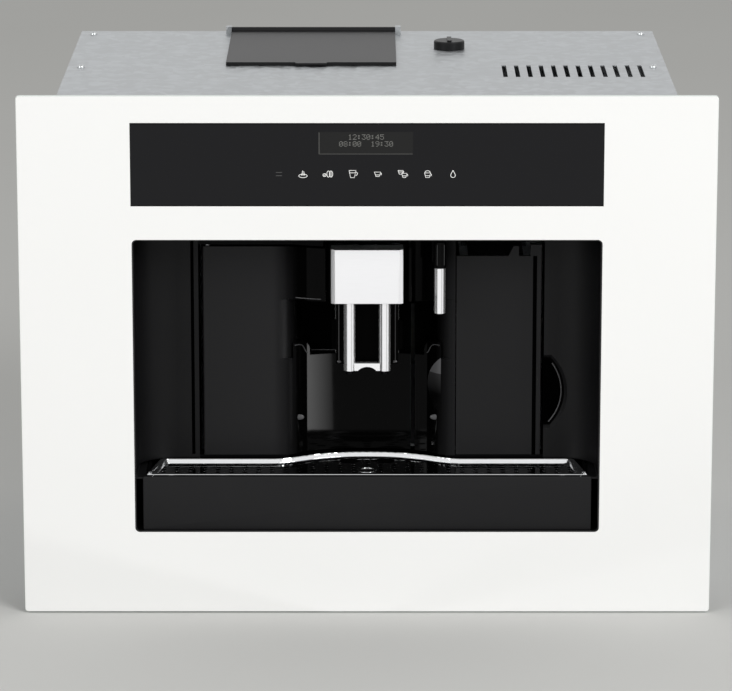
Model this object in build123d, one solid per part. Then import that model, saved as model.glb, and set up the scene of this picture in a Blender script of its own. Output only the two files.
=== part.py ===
"""Built-in coffee machine, 45 cm class, built piece by piece in millimetres.

While it is modelled, X runs to the right seen from the front, Y runs back from the front face of
the glass, and Z runs up from the lower edge of the glass. Each piece is moved at export, so that
the origin ends up in the middle of the footprint, on the floor of the cabinet niche.
"""

from build123d import *
import math
import os

# ---------------------------------------------------------------- driving dimensions
panel_width = 595.0
panel_height = 455.0
overall_depth = 400.0
panel_lift = 1.0  # glass edge above the niche floor
glass = 5.0
glass_corner = 3.0
edge_break = 0.6
carrier_back = 20.0  # rear face of the carrier frame, which meets the cabinet front
carrier_inset = 4.0
carrier_wall = 3.0

niche_width = 560.0
niche_side_clear = 0.5
sheet = 1.2  # housing sheet metal
rail_sheet = 1.5
rail_clear = 0.35
rail_room = 12.5  # from machine side to the outer face of the rail
rail_height = 45.0
rail_floor = 12.0
rail_front = 24.0
rail_tail = 10.0
rail_ear = 28.0
rail_screw = 2.25
rail_screw_pitch = 240.0
machine_floor = 8.0
machine_top = 444.0
pan_height = 18.0
rib_x = 150.0
rib_low = 120.0
rib_high = 340.0
back_vent_x = 45.0
back_vent_low = 190.0
side_vent_low = 356.0
side_vent_length = 70.0
side_vent_behind = 30.0
top_vent_x = 120.0
top_vent_front = 150.0
top_vent_length = 60.0
pan_vent_behind = 168.0

running = 0.3  # gap between pieces that slide past each other
pin_clear = 0.05  # radial clearance of a pin in its hole

window_half = 201.2
window_low = 360.0
window_high = 432.0
window_sheet = 0.85
window_sink = 0.15
display_half = 42.0
board_half = 99.5

bay_half = 200.2
bay_low = 72.1
bay_high = 330.8
bay_corner = 4.0
bay_wall = 2.4
bay_depth = 60.0
bay_radius = 34.0
bay_back = 97.0  # rear edge of the walls round the door and the tank
groove_inset = 4.0  # from the jamb of the door to the groove in the liner
groove_width = 2.7
groove_deep = 4.5
shelf_top = 124.8

door_left = -143.0
door_right = 38.5
door_low = 125.4
door_high = 312.2
door_seam = 3.3
door_gap = 3.6
door_back_edge = 95.0
door_back_sheet = 2.0
door_edge_radius = 1.5
hinge_inset = 4.5
hinge_depth = 67.0
hinge_pin = 3.0
hinge_bite = 12.0

cowl_half = 53.0
cowl_depth = 83.0
cowl_side_depth = 74.0
cowl_mouth = 64.5
ledge_height = 212.0
recess_half = 56.0
recess_depth = 92.0
hood_low = 265.0
hood_half = 36.0
hood_depth = 51.5
hood_bulge = 1.2
lip_radius = 16.0
ear_half = 50.0  # inner side of the raised ends of the ledge
ear_rise = 13.5
ear_radius = 8.0

spout_half = 31.2
spout_front = 25.0
spout_low = 269.0
spout_high = 316.6
spout_travel = 60.0
spout_wall = 2.0
spout_edge = 3.6
spout_cover_depth = 22.0
carriage_half = 33.0
carriage_low = 216.0
shroud_low = 212.0
tube_pitch = 30.4
tube_radius = 5.05
tube_bore = 3.6
tube_low = 208.2
tube_depth = 34.0
nozzle_radius = 3.1
nozzle_drop = 3.2
bridge_height = 6.6
arch_radius = 11.0
arch_drop = 7.5
guide_rod = 3.0
guide_rod_at = 25.0
guide_rod_depth = 84.0

hot_x = 62.7
hot_depth = 35.0
hot_radius = 4.9
hot_low = 259.0
hot_sleeve_low = 299.0
hot_sleeve_high = 322.0
hot_sleeve = 5.6
hot_nipple = 4.0

column_right = 76.9
tank_strip = 48.9  # from the tank's face to the side of the bay
tank_face_top = 303.7
tank_face_sheet = 4.0
tank_top = 300.0
tank_behind = 110.0
tank_inset = 7.4
tank_gap = 3.6
tank_lid_axis = 158.0
tab_inset = (29.2, 24.3, 19.5)
tab_rise = 8.8
catch_width = 9.4
catch_rise = 9.9
tank_groove_inset = 5.5
tank_groove_width = 3.4
tank_groove_deep = 3.0
tank_wall = 2.5
tank_travel = 250.0
tank_ride = 3.5
right_gap = 2.8
nipple_radius = 6.0
nipple_height = 142.0
recess_strip = 25.5
recess_radius = 46.0
recess_mid = 182.4
recess_rise = 32.9
recess_deep = 12.0
recess_bevel = 4.5

tray_side_clear = 9.2
tray_front_side_clear = 6.2
tray_front_depth = 5.0
tray_front_sheet = 4.0
tray_low = 72.5
tray_rim = 120.4
tray_wall = 2.5
tray_back = 205.0
tray_room_back = 212.0
bin_half = 70.0

grille_side_clear = 10.2
grille_front = 6.8
grille_side_back = 58.0
grille_mid_back = 81.8
grille_corner = 8.0
grille_taper = 10.0
grille_sheet = 1.4
grille_lip = 2.2
grille_lip_width = 3.4
hole_radius = 2.35
hole_pitch_x = 11.8
hole_pitch_y = 8.0
hole_rows = 8
hole_front = 8.4  # from the grille's front edge to the first row
float_radius = 6.5
float_depth = 21.5
float_high = 119.4
float_ring = 1.4  # width of the raised ring round the float
foot_holes = [(-15.7, 61.0), (15.7, 61.0)]
foot_radius = 8.8

brew_x = -50.0
brew_behind = 8.0
brew_reach = 60.0
brew_half = 72.0
brew_wall = 4.0
brew_top = 300.0
chamber_radius = 30.0
chamber_bore = 23.0
chamber_low = 152.0
chamber_height = 45.0
brew_stroke = 60.0
piston_low = 232.0
piston_thick = 14.0
piston_clear = 0.08
screw_x = -5.0
screw_radius = 5.0
guide_x = -94.0
guide_radius = 4.0
gear_module = 1.0
gear_teeth = 40
pinion_teeth = 12
gear_low = 136.0
gear_thick = 8.0
gear_backlash = 0.4
motor_radius = 14.0
motor_length = 46.0

grinder_behind = 70.0
grinder_radius = 48.0
grinder_low = 300.0
grinder_high = 346.0
grinder_motor_radius = 31.0
burr_radius = 26.0
shaft_radius = 3.0
hopper_left = -130.0
hopper_right = 30.0
hopper_length = 180.0
hopper_behind = 15.0
hopper_funnel_top = 395.0
hopper_neck = 20.0
lid_sheet = 3.0
lid_barrel = 3.2
lid_pin = 2.0

switch_x = -165.0
inlet_x = -201.0
inlet_height = 46.0
pocket_radius = 10.0
rocker_radius = 9.2
rocker_length = 18.0
knob_x = 75.0
knob_depth = 300.0
knob_radius = 14.0
button_radius = 7.0
button_travel = 4.0

heater_gap = 20.0
heater_side = 29.8
heater_front = 118.0
heater_behind = 192.0
heater_lift = 16.0
heater_top = 240.0
heater_pipe_x = 201.0
heater_pipe_depth = 150.0
heater_port_drop = 30.0
pump_x = 205.0
pump_lift = 30.0
pump_behind = 50.0
pump_length = 104.0
pump_nipple = 12.0
supply_radius = 4.0
supply_bend = 6.0
pressure_radius = 3.5
pressure_bend = 4.0
brew_hose_rise = 46.0
brew_hose_bend = 22.0
power_front = 110.0
power_behind = 70.0
power_low = 150.0
power_high = 330.0

# ---------------------------------------------------------------- derived places
rail_outside = niche_width / 2 - niche_side_clear
side_face = rail_outside - rail_room
side_inner = side_face - sheet
back_face = overall_depth - 3.5
rail_length = overall_depth - rail_front - rail_tail
hinge_x = door_left + hinge_inset
shelf_low = shelf_top - 2.0
column_left = door_right + door_seam
jamb_left = door_left - door_gap
tank_right = bay_half - tank_strip
tank_body_right = tank_right - tank_inset
tank_left = column_right + tank_gap
tank_back = overall_depth - tank_behind
right_edge = tank_right + right_gap
recess_reach = bay_half - recess_strip
tray_half = bay_half - tray_side_clear
tray_front_half = bay_half - tray_front_side_clear
grille_half = bay_half - grille_side_clear
brew_front = bay_back + brew_behind
brew_depth = brew_front + brew_reach
brew_back = brew_depth + brew_reach
grinder_depth = brew_back + grinder_behind
bin_left = brew_x - bin_half
bin_right = brew_x + bin_half
bin_front = bay_back + 1.0
hopper_back = overall_depth - hopper_behind
hopper_front = hopper_back - hopper_length
pump_depth = overall_depth - pump_behind - pump_length
brew_hose_high = brew_top + brew_hose_rise
inlet_back = overall_depth - 0.5

os.makedirs("parts", exist_ok=True)


# ---------------------------------------------------------------- helpers
def block(x, y, z):
    """A box from its low and high limits across, in depth and in height."""
    spans = (x, y, z)
    centre = [(low + high) / 2 for low, high in spans]
    sides = [high - low for low, high in spans]
    return Pos(*centre) * Box(*sides)


def upright(x, y, z, radius):
    """A vertical cylinder between two heights."""
    return Pos(x, y, (z[0] + z[1]) / 2) * Cylinder(radius, z[1] - z[0])


def along_depth(x, y, z, radius):
    """A cylinder that runs front to back between two depths."""
    return Pos(x, (y[0] + y[1]) / 2, z) * Rot(90, 0, 0) * Cylinder(radius, y[1] - y[0])


def along_width(x, y, z, radius):
    """A cylinder that runs from side to side between two limits."""
    return Pos((x[0] + x[1]) / 2, y, z) * Rot(0, 90, 0) * Cylinder(radius, x[1] - x[0])


def prism(face, z):
    """A plan outline raised between two heights."""
    return Pos(0, 0, z[0]) * extrude(face, z[1] - z[0])


def outline(*points):
    """A closed plan outline with straight sides."""
    return make_face(Polyline(*points, close=True))


def plan_box(x, y, corners=(), radius=0.0):
    """A plan rectangle with the named corners rounded."""
    face = outline((x[0], y[0]), (x[1], y[0]), (x[1], y[1]), (x[0], y[1]))
    for corner in corners:
        face = fillet(nearest(face, *corner), radius)
    return face


def nearest(face, x, y):
    """The corner of a plan outline that lies nearest to a place."""
    return face.vertices().sort_by_distance((x, y, 0))[0]


def side_prism(points, x):
    """An outline in depth and height, carried from one side limit to another."""
    face = make_face(Polyline(*[(0, y, z) for y, z in points], close=True))
    return Pos(x[0], 0, 0) * extrude(face, amount=x[1] - x[0], dir=(1, 0, 0))


def front_plate(x, z, y, radius):
    """A plate that faces the front, with rounded corners."""
    face = Pos((x[0] + x[1]) / 2, (z[0] + z[1]) / 2) * RectangleRounded(x[1] - x[0], z[1] - z[0], radius)
    return Pos(0, y[1], 0) * Rot(90, 0, 0) * extrude(face, y[1] - y[0])


def mirrored(shape):
    """The same shape on the other side of the middle."""
    return mirror(shape, about=Plane.YZ)


def hose(radius, *points, bend=14.0):
    """A held hose along straight runs joined by tangent arcs."""
    path = FilletPolyline(*points, radius=bend)
    return sweep(Plane(path @ 0, z_dir=path % 0) * Circle(radius), path=path)


def save(shape, node):
    """Move a piece to the shared frame and write its file."""
    placed = Pos(0, -overall_depth / 2, panel_lift) * shape
    placed.label = node
    export_step(placed, f"parts/{node}.step")


# ---------------------------------------------------------------- telescopic runners
def channel(web, lip, z, opening):
    """A rail section: a web and two flanges that reach towards the machine or away from it."""
    length = (rail_front, rail_front + rail_length)
    low, high = z
    body = block(web, length, z)
    reach = (min(web[0], lip), max(web[1], lip)) if opening == "in" else (web[0], lip)
    body += block(reach, length, (low, low + rail_sheet))
    body += block(reach, length, (high - rail_sheet, high))
    return body


def runners():
    step = rail_sheet + rail_clear
    outer_z = (rail_floor, rail_floor + rail_height)
    middle_z = (outer_z[0] + step, outer_z[1] - step)
    inner_z = (middle_z[0] + step, middle_z[1] - step)
    outer_web = (rail_outside - rail_sheet, rail_outside)
    middle_web = (outer_web[0] - step, outer_web[0] - rail_clear)
    inner_web = (side_face, side_face + rail_sheet)
    lip = inner_web[1] + 0.5
    length = (rail_front, rail_front + rail_length)

    outer = channel(outer_web, lip, outer_z, "in")
    outer += block(outer_web, length, (-panel_lift, outer_z[1] + rail_ear))
    outer += block((lip, outer_web[1]), length, (-panel_lift, rail_sheet - panel_lift))
    middle_depth = rail_front + rail_length / 2
    for side in (-1, 1):
        hole_y = middle_depth + side * rail_screw_pitch / 2
        outer -= along_width((outer_web[0] - 1, outer_web[1] + 1), hole_y, outer_z[1] + rail_ear / 2,
                             rail_screw)
    middle = channel(middle_web, lip, middle_z, "in")
    inner = channel(inner_web, middle_web[0] - rail_clear, inner_z, "out")
    save(outer, "rail_outer_right")
    save(mirrored(outer), "rail_outer_left")
    save(middle + mirrored(middle), "rails_middle")
    save(inner + mirrored(inner), "rails_inner")


# ---------------------------------------------------------------- housing
def housing():
    depth = (carrier_back, back_face)
    inside = (-side_inner, side_inner)
    pan = block(inside, depth, (machine_floor, machine_floor + pan_height))
    pan -= block((-side_inner + sheet, side_inner - sheet), (depth[0] + sheet, depth[1] - sheet),
                 (machine_floor + sheet, machine_floor + pan_height + 1))
    for y in range(5):
        vent_y = overall_depth - pan_vent_behind + 28 * y
        pan -= block((-60, 60), (vent_y, vent_y + 5), (machine_floor - 1, machine_floor + 2))
    save(pan, "base_pan")

    wall = block((side_inner, side_face), depth, (machine_floor, machine_top))
    wall += block((side_inner - 12, side_inner), (depth[0], depth[0] + sheet),
                  (machine_floor + pan_height + 2, machine_top - 4))
    vent_back = overall_depth - side_vent_behind
    for row in range(8):
        slot_z = side_vent_low + 9 * row
        wall -= block((side_inner - 1, side_face + 1), (vent_back - side_vent_length, vent_back),
                      (slot_z, slot_z + 3))
    save(wall, "side_panel_right")
    save(mirrored(wall), "side_panel_left")

    back = block((-side_face, side_face), (back_face, back_face + sheet), (machine_floor, machine_top))
    for x in (-rib_x, rib_x):
        for z in (rib_low, rib_high):
            back += front_plate((x - 60, x + 60), (z - 6, z + 6), (back_face + sheet / 2, overall_depth), 5)
    for row in range(9):
        slot_z = back_vent_low + 10 * row
        for x in (-back_vent_x, back_vent_x):
            back -= front_plate((x - 36, x + 36), (slot_z, slot_z + 4), (back_face - 1, back_face + 2), 1.9)
    back -= block((inlet_x - 14.2, inlet_x + 14.2), (back_face - 1, back_face + 2),
                  (inlet_height - 12.2, inlet_height + 12.2))
    back -= block((switch_x - 11.2, switch_x + 11.2), (back_face - 1, back_face + 2),
                  (inlet_height - 12.2, inlet_height + 12.2))
    save(back, "back_panel")

    cover = block((-side_face, side_face), (carrier_back, back_face + sheet),
                  (machine_top, machine_top + sheet))
    cover -= block((hopper_left + 10, hopper_right - 10), (hopper_front + 10, hopper_back - 10),
                   (machine_top - 1, machine_top + 2))
    cover -= upright(knob_x, knob_depth, (machine_top - 1, machine_top + 2), shaft_radius + pin_clear)
    for column in range(12):
        slot_x = top_vent_x + 11 * column
        cover -= block((slot_x, slot_x + 4), (top_vent_front, top_vent_front + top_vent_length),
                       (machine_top - 1, machine_top + 2))
    for ear in hinge_ears((hopper_left + 4, hopper_right - 4), hopper_back - 4, machine_top + sheet):
        cover += ear
    save(cover, "top_cover")

    shelf = block((-side_inner, side_inner), (bay_depth + 2, back_face), (shelf_low, shelf_top))
    shelf -= block((-cowl_mouth - 4, cowl_mouth + 4), (bay_depth, bay_back + 2),
                   (shelf_low - 1, shelf_top + 1))
    shelf -= block((bin_left + 12, bin_right - 12), (bin_front + 16, tray_back - 20),
                   (shelf_low - 1, shelf_top + 1))
    save(shelf, "inner_shelf")


def hinge_ears(x, y, base):
    """Two ears that carry the pins of a lid, with their holes."""
    ears = []
    axis_z = base + lid_barrel + running
    for low in (x[0] - 5.2, x[1] + 0.2):
        ear = block((low, low + 5), (y - 4, y + 4), (base - sheet / 2, axis_z + 4))
        ears.append(ear - along_width((low - 1, low + 6), y, axis_z, lid_pin + pin_clear))
    return ears


def lid(x, front, y, base, grip):
    """A flat lid with a barrel and two pins at its rear edge, and a grip lip in front."""
    axis_z = base + lid_barrel + running
    plate = block(x, (front, y), (base + running, base + running + lid_sheet))
    plate += along_width(x, y, axis_z, lid_barrel)
    plate += along_width((x[0] - 4, x[1] + 4), y, axis_z, lid_pin)
    middle = (x[0] + x[1]) / 2
    plate += block((middle - grip, middle + grip), (front - 5, front + 2),
                   (base + running + 1, base + running + lid_sheet))
    return plate


# ---------------------------------------------------------------- front
def front():
    half = panel_width / 2
    pane = front_plate((-half, half), (0, panel_height), (0, glass), glass_corner)
    pane = chamfer(pane.faces().sort_by(Axis.Y)[0].edges(), edge_break)
    pane -= front_plate((-bay_half - 0.5, bay_half + 0.5), (bay_low, bay_high), (-1, glass + 1), bay_corner)
    pane -= block((-window_half, window_half), (-1, window_sink + window_sheet), (window_low, window_high))
    save(pane, "front_glass")

    window = block((-window_half + 0.1, window_half - 0.1), (window_sink, window_sink + window_sheet),
                   (window_low + 0.1, window_high - 0.1))
    save(window, "control_window")

    edge = half - carrier_inset
    low, high = carrier_inset, panel_height - carrier_inset
    skin = glass + carrier_wall
    frame = block((-edge, edge), (glass, carrier_back), (low, high))
    frame -= block((-edge + carrier_wall, edge - carrier_wall), (skin, carrier_back + 1),
                   (low + carrier_wall, high - carrier_wall))
    room = bay_half + bay_wall
    frame += block((-room - carrier_wall, room + carrier_wall), (glass, carrier_back),
                   (bay_low - bay_wall - carrier_wall, bay_high + bay_wall + carrier_wall))
    frame -= block((-room, room), (glass - 1, carrier_back + 1),
                   (bay_low - bay_wall, bay_high + bay_wall + 0.2))
    frame -= block((-board_half - 0.5, board_half + 0.5), (glass - 1, skin + 1),
                   (window_low + 6, window_high - 6))
    for x in (-side_inner + 6, side_inner - 6):
        for z in (low + 30, high - 30):
            frame += along_depth(x, (skin - 1, carrier_back), z, 6)
    save(frame, "front_frame")

    board = block((-board_half, board_half), (glass + 3, glass + 4.6), (window_low + 6.5, window_high - 6.5))
    board += block((-display_half - 6, display_half + 6), (glass, glass + 3.5),
                   (window_low + 40, window_high - 7))
    board += block((-82, 82), (glass, glass + 3.5), (window_low + 22, window_low + 34))
    for x in (-70, 0, 62):
        board += block((x - 9, x + 9), (glass + 4, glass + 8), (window_low + 30, window_low + 48))
    save(board, "display_board")


# ---------------------------------------------------------------- bay walls
def bay_walls():
    outside = bay_half + bay_wall
    z = (shelf_low, bay_high + 0.2)
    room = plan_box((-bay_half, bay_half), (glass - 1, bay_depth),
                    [(-bay_half, bay_depth), (bay_half, bay_depth)], bay_radius)
    skin = plan_box((-outside, outside), (glass, bay_depth + bay_wall),
                    [(-outside, bay_depth + bay_wall), (outside, bay_depth + bay_wall)],
                    bay_radius + bay_wall)
    shell = prism(skin, z) - prism(room, (z[0] - 1, z[1] + 1))

    left = shell & block((-outside - 1, jamb_left), (0, bay_depth + 5), (z[0] - 1, z[1] + 1))
    left += block((jamb_left - bay_wall, jamb_left), (bay_depth, bay_back), (shelf_top, z[1]))
    groove = (jamb_left - groove_inset - groove_width, jamb_left - groove_inset)
    left += block((groove[0] - bay_wall, groove[1] + bay_wall),
                  (bay_depth, bay_depth + groove_deep + bay_wall),
                  (shelf_top, z[1]))
    left -= block(groove, (bay_depth - 1, bay_depth + groove_deep), (shelf_top + 1, z[1] + 1))
    left -= block((-side_face, 0), (bay_depth + 1.9, bay_back + 1), (0, shelf_top + 0.001))
    save(left, "bay_liner_left")

    right = shell & block((right_edge, outside + 1), (0, bay_depth + 5), (z[0] - 1, z[1] + 1))
    right += block((right_edge, right_edge + bay_wall), (bay_depth, bay_back), (shelf_top, z[1]))
    right -= block((0, side_face), (bay_depth + 1.9, bay_back + 1), (0, shelf_top + 0.001))
    cup_back = bay_depth + recess_deep
    right += block((right_edge, recess_reach + 4), (bay_depth, cup_back + bay_wall),
                   (recess_mid - recess_rise - 4, recess_mid + recess_rise + 4))
    right -= extrude(grip_outline(0, bay_depth), 8, dir=(0, -1, 0))
    right -= loft([grip_outline(0, bay_depth), grip_outline(recess_bevel, bay_depth + recess_bevel)])
    right -= extrude(grip_outline(recess_bevel, bay_depth + recess_bevel), recess_deep - recess_bevel,
                     dir=(0, 1, 0))
    save(right, "bay_liner_right")

    ceiling_z = (z[1], z[1] + bay_wall)
    ceiling = prism(skin, ceiling_z)
    ceiling -= block((-carriage_half - 5, carriage_half + 5), (spout_front - 4, bay_back),
                     (z[1] - 1, ceiling_z[1] + 1))
    lintel_x = (jamb_left, -carriage_half - 5)
    ceiling += bay_front(lintel_x, (door_high + 1.8, ceiling_z[1]), bay_depth + 12)
    save(ceiling, "bay_ceiling")

    column = bay_front((column_left, column_right), (shelf_top, z[1]), bay_back)
    column -= block((hot_x - hot_sleeve - 1, hot_x + hot_sleeve + 1), (0, bay_depth + 16),
                    (hot_sleeve_low + 2, hot_sleeve_high + 1))
    save(column, "bay_column")

    tray_room = block((-outside, outside), (glass, tray_room_back), (bay_low - bay_wall, shelf_low))
    tray_room -= block((-bay_half, bay_half), (glass - 1, tray_room_back - bay_wall),
                       (tray_low - running, shelf_low + 1))
    save(tray_room, "tray_bay")


def grip_outline(inset, y):
    """The finger recess at one depth: a D with its round side to the right, cut off above and below."""
    middle = recess_reach - recess_radius
    radius = recess_radius - inset
    rise = recess_rise - inset
    disc = Pos(middle, recess_mid) * Circle(radius)
    band = outline((right_edge - 10, recess_mid - rise), (recess_reach, recess_mid - rise),
                   (recess_reach, recess_mid + rise), (right_edge - 10, recess_mid + rise))
    return Pos(0, y, 0) * Rot(90, 0, 0) * (disc & band)


def middle_outline(zone, x, back):
    """Plan of one height zone of the bay's middle, from its front line to a straight back."""
    wide = 260.0
    start, end = (-wide, bay_depth), (wide, bay_depth)
    if zone == "cowl":
        line = Polyline(start, (-cowl_mouth, bay_depth), (-cowl_half, cowl_side_depth))
        line += ThreePointArc((-cowl_half, cowl_side_depth), (0, cowl_depth), (cowl_half, cowl_side_depth))
        line += Polyline((cowl_half, cowl_side_depth), (cowl_mouth, bay_depth), end)
        rounded = [(-cowl_mouth, bay_depth), (cowl_mouth, bay_depth)]
    elif zone == "recess":
        line = Polyline(start, (-cowl_mouth, bay_depth), (-recess_half, recess_depth),
                        (recess_half, recess_depth), (cowl_mouth, bay_depth), end)
        rounded = [(-cowl_mouth, bay_depth), (cowl_mouth, bay_depth)]
    else:
        bulge_x = (cowl_mouth + hood_half) / 2
        bulge_y = (bay_depth + hood_depth) / 2 - hood_bulge
        line = Polyline(start, (-cowl_mouth, bay_depth))
        line += ThreePointArc((-cowl_mouth, bay_depth), (-bulge_x, bulge_y), (-hood_half, hood_depth))
        line += Polyline((-hood_half, hood_depth), (-hood_half, recess_depth), (hood_half, recess_depth),
                         (hood_half, hood_depth))
        line += ThreePointArc((hood_half, hood_depth), (bulge_x, bulge_y), (cowl_mouth, bay_depth))
        line += Line((cowl_mouth, bay_depth), end)
        rounded = []
    line += Polyline(end, (wide, back), (-wide, back), start)
    face = make_face(line)
    for corner in rounded:
        face = fillet(nearest(face, *corner), lip_radius)
    return face & outline((x[0], 0), (x[1], 0), (x[1], back), (x[0], back))


def bay_front(x, z, back):
    """The shaped front of the bay between two side limits, hollow and open behind."""
    zones = [("cowl", 0.0, ledge_height), ("recess", ledge_height, hood_low),
             ("hood", hood_low, panel_height)]
    body, core = Part(), Part()
    for zone, low, high in zones:
        low, high = max(low, z[0]), min(high, z[1])
        if high - low < 2 * bay_wall:
            continue
        body += prism(middle_outline(zone, x, back), (low, high))
        behind = middle_outline(zone, x, back + 3 * bay_wall)
        inner = offset(behind, -bay_wall, kind=Kind.INTERSECTION)
        grow = -bay_wall if zone == "recess" else bay_wall
        inner_z = (low + (grow if low > z[0] else bay_wall), high - (grow if high < z[1] else bay_wall))
        core += prism(inner, inner_z)
    ear_z = (ledge_height - bay_wall, ledge_height + ear_rise)
    for side in (-1, 1):
        low, high = sorted((side * ear_half, side * cowl_mouth))
        if low > x[0] and high < x[1] and z[0] < ear_z[0] and ear_z[1] < z[1]:
            ear = prism(middle_outline("cowl", (low, high), back), ear_z)
            top = ear.edges().filter_by(Axis.Y).group_by(Axis.Z)[-1].sort_by(Axis.X)
            body += fillet(top[-1] if side < 0 else top[0], ear_radius)
    return body - core


# ---------------------------------------------------------------- service door and coffee spout
def service_door():
    shell = bay_front((door_left, door_right), (door_low, door_high), door_back_edge)
    for z in ((door_low, door_low + hinge_bite + 8), (door_high - hinge_bite - 8, door_high)):
        shell += block((door_left + 1, hinge_x + 8), (bay_depth + 1, hinge_depth + 9), z)
    corner = [edge for edge in shell.edges().filter_by(Axis.Z).group_by(Axis.X)[0].sort_by(Axis.Y)][0]
    shell = fillet(corner, door_edge_radius)
    shell -= upright(hinge_x, hinge_depth, (door_low - 1, door_low + hinge_bite + 1), hinge_pin + pin_clear)
    shell -= upright(hinge_x, hinge_depth, (door_high - hinge_bite - 1, door_high + 1), hinge_pin + pin_clear)
    save(shell, "service_door")

    back = block((door_left + 1, door_right - 1), (door_back_edge, door_back_edge + door_back_sheet),
                 (door_low + 1, door_high - 1))
    save(back, "door_back")

    pins = upright(hinge_x, hinge_depth, (shelf_top, door_low + hinge_bite), hinge_pin)
    pins += upright(hinge_x, hinge_depth, (door_high - hinge_bite, door_high + 1.8), hinge_pin)
    save(pins, "hinge_pins")

    rod_z = (ledge_height, door_high - 2)
    rods = Part()
    for side in (-1, 1):
        rods += upright(side * guide_rod_at, guide_rod_depth, rod_z, guide_rod)
        rods += block((side * guide_rod_at - 4, side * guide_rod_at + 4), (guide_rod_depth - 4, recess_depth),
                      (door_high - 8, door_high - 2))
    save(rods, "spout_guide_rods")


def coffee_spout():
    mount = spout_front + spout_cover_depth
    edge = spout_half - spout_edge
    face = outline((-spout_half, mount), (-spout_half, spout_front + spout_edge / 2), (-edge, spout_front),
                   (edge, spout_front), (spout_half, spout_front + spout_edge / 2), (spout_half, mount))
    cover = prism(face, (spout_low, spout_high))
    cover -= block((-spout_half + spout_wall, spout_half - spout_wall),
                   (spout_front + spout_wall + 1, mount + 1),
                   (spout_low + spout_wall, spout_high - spout_wall))
    for side in (-1, 1):
        cover -= upright(side * tube_pitch / 2, tube_depth, (spout_low - 1, spout_low + spout_wall + 1),
                         tube_radius)
    save(cover, "spout_cover")

    slide_back = recess_depth - running
    body = block((-carriage_half, carriage_half), (mount, hood_depth - 1.5), (spout_low, spout_high))
    body += block((-20, 20), (mount, slide_back), (carriage_low, spout_high))
    body += block((-27, 27), (tube_depth + 8, mount + 8), (shroud_low, spout_low))
    body += block((-spout_half + spout_wall + 0.3, spout_half - spout_wall - 0.3), (spout_front + 6, mount),
                  (spout_low + spout_wall + 0.3, spout_high - spout_wall - 0.3))
    for side in (-1, 1):
        sleeve = block((side * guide_rod_at - 6, side * guide_rod_at + 6), (guide_rod_depth - 5, slide_back),
                       (carriage_low, carriage_low + 26))
        body += sleeve
    for side in (-1, 1):
        body -= upright(side * guide_rod_at, guide_rod_depth, (carriage_low - 1, spout_high + 1),
                        guide_rod + pin_clear)
        body -= upright(side * tube_pitch / 2, tube_depth, (shroud_low - 1, spout_low + 12), tube_radius)
    body -= block((-7, 7), (spout_front + 12, mount + 6), (spout_low + 8, spout_high + 1))
    save(body, "spout_carriage")

    tubes = Part()
    bores = Part()
    for side in (-1, 1):
        x = side * tube_pitch / 2
        tubes += upright(x, tube_depth, (tube_low, spout_low + 12), tube_radius)
        tubes += upright(x, tube_depth, (tube_low - nozzle_drop, tube_low + 1), nozzle_radius)
        bores += upright(x, tube_depth, (tube_low - nozzle_drop - 1, spout_low + 13), tube_bore / 2)
        bores += upright(x, tube_depth, (tube_low + 2, spout_low + 13), tube_bore)
    arch = block((-tube_pitch / 2, tube_pitch / 2), (tube_depth - 3, tube_depth + 3),
                 (tube_low, tube_low + bridge_height))
    arch -= along_depth(0, (0, bay_depth), tube_low - arch_drop, arch_radius)
    save(tubes + arch - bores, "spout_tubes")


def hot_water():
    spout = upright(hot_x, hot_depth, (hot_low, hot_sleeve_low + 3), hot_radius)
    spout += upright(hot_x, hot_depth, (hot_sleeve_low, hot_sleeve_high), hot_sleeve)
    nipple_z = (hot_sleeve_low + hot_sleeve_high) / 2
    spout += along_depth(hot_x, (hot_depth, bay_depth + 1), nipple_z, hot_nipple)
    spout += along_depth(hot_x, (hot_depth, hot_depth + 11), nipple_z, hot_sleeve - 1)
    spout -= upright(hot_x, hot_depth, (hot_low - 1, nipple_z), hot_radius - 1.5)
    save(spout, "hot_water_spout")

    socket = block((hot_x - hot_sleeve - 1, hot_x + hot_sleeve + 1), (hood_depth - 4, bay_depth + 16),
                   (hot_sleeve_low + 2, hot_sleeve_high + 1))
    socket -= along_depth(hot_x, (0, bay_depth + 3), nipple_z, hot_nipple + pin_clear)
    save(socket, "hot_water_socket")


# ---------------------------------------------------------------- drip tray
def grille_outline(shrink=0.0):
    """Plan of the cup grille: straight front, tapered sides and a tongue that follows the door."""
    half = grille_half - shrink
    side, middle = grille_side_back - shrink, grille_mid_back - shrink
    front_y = grille_front + shrink
    s_start, s_turn = cowl_mouth + 19.5, cowl_half
    tongue = Spline((-s_start, side), (-s_turn, (side + middle) / 2), (-25, middle - 2.2), (0, middle),
                    (25, middle - 2.2), (s_turn, (side + middle) / 2), (s_start, side),
                    tangents=[(1, 0), (1, 0)])
    rear = half - grille_taper
    line = tongue + Polyline((s_start, side), (rear, side), (half, front_y), (-half, front_y), (-rear, side),
                             (-s_start, side))
    face = make_face(line)
    for x in (-rear, rear):
        face = fillet(nearest(face, x, side), grille_corner - shrink)
    return face


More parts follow.
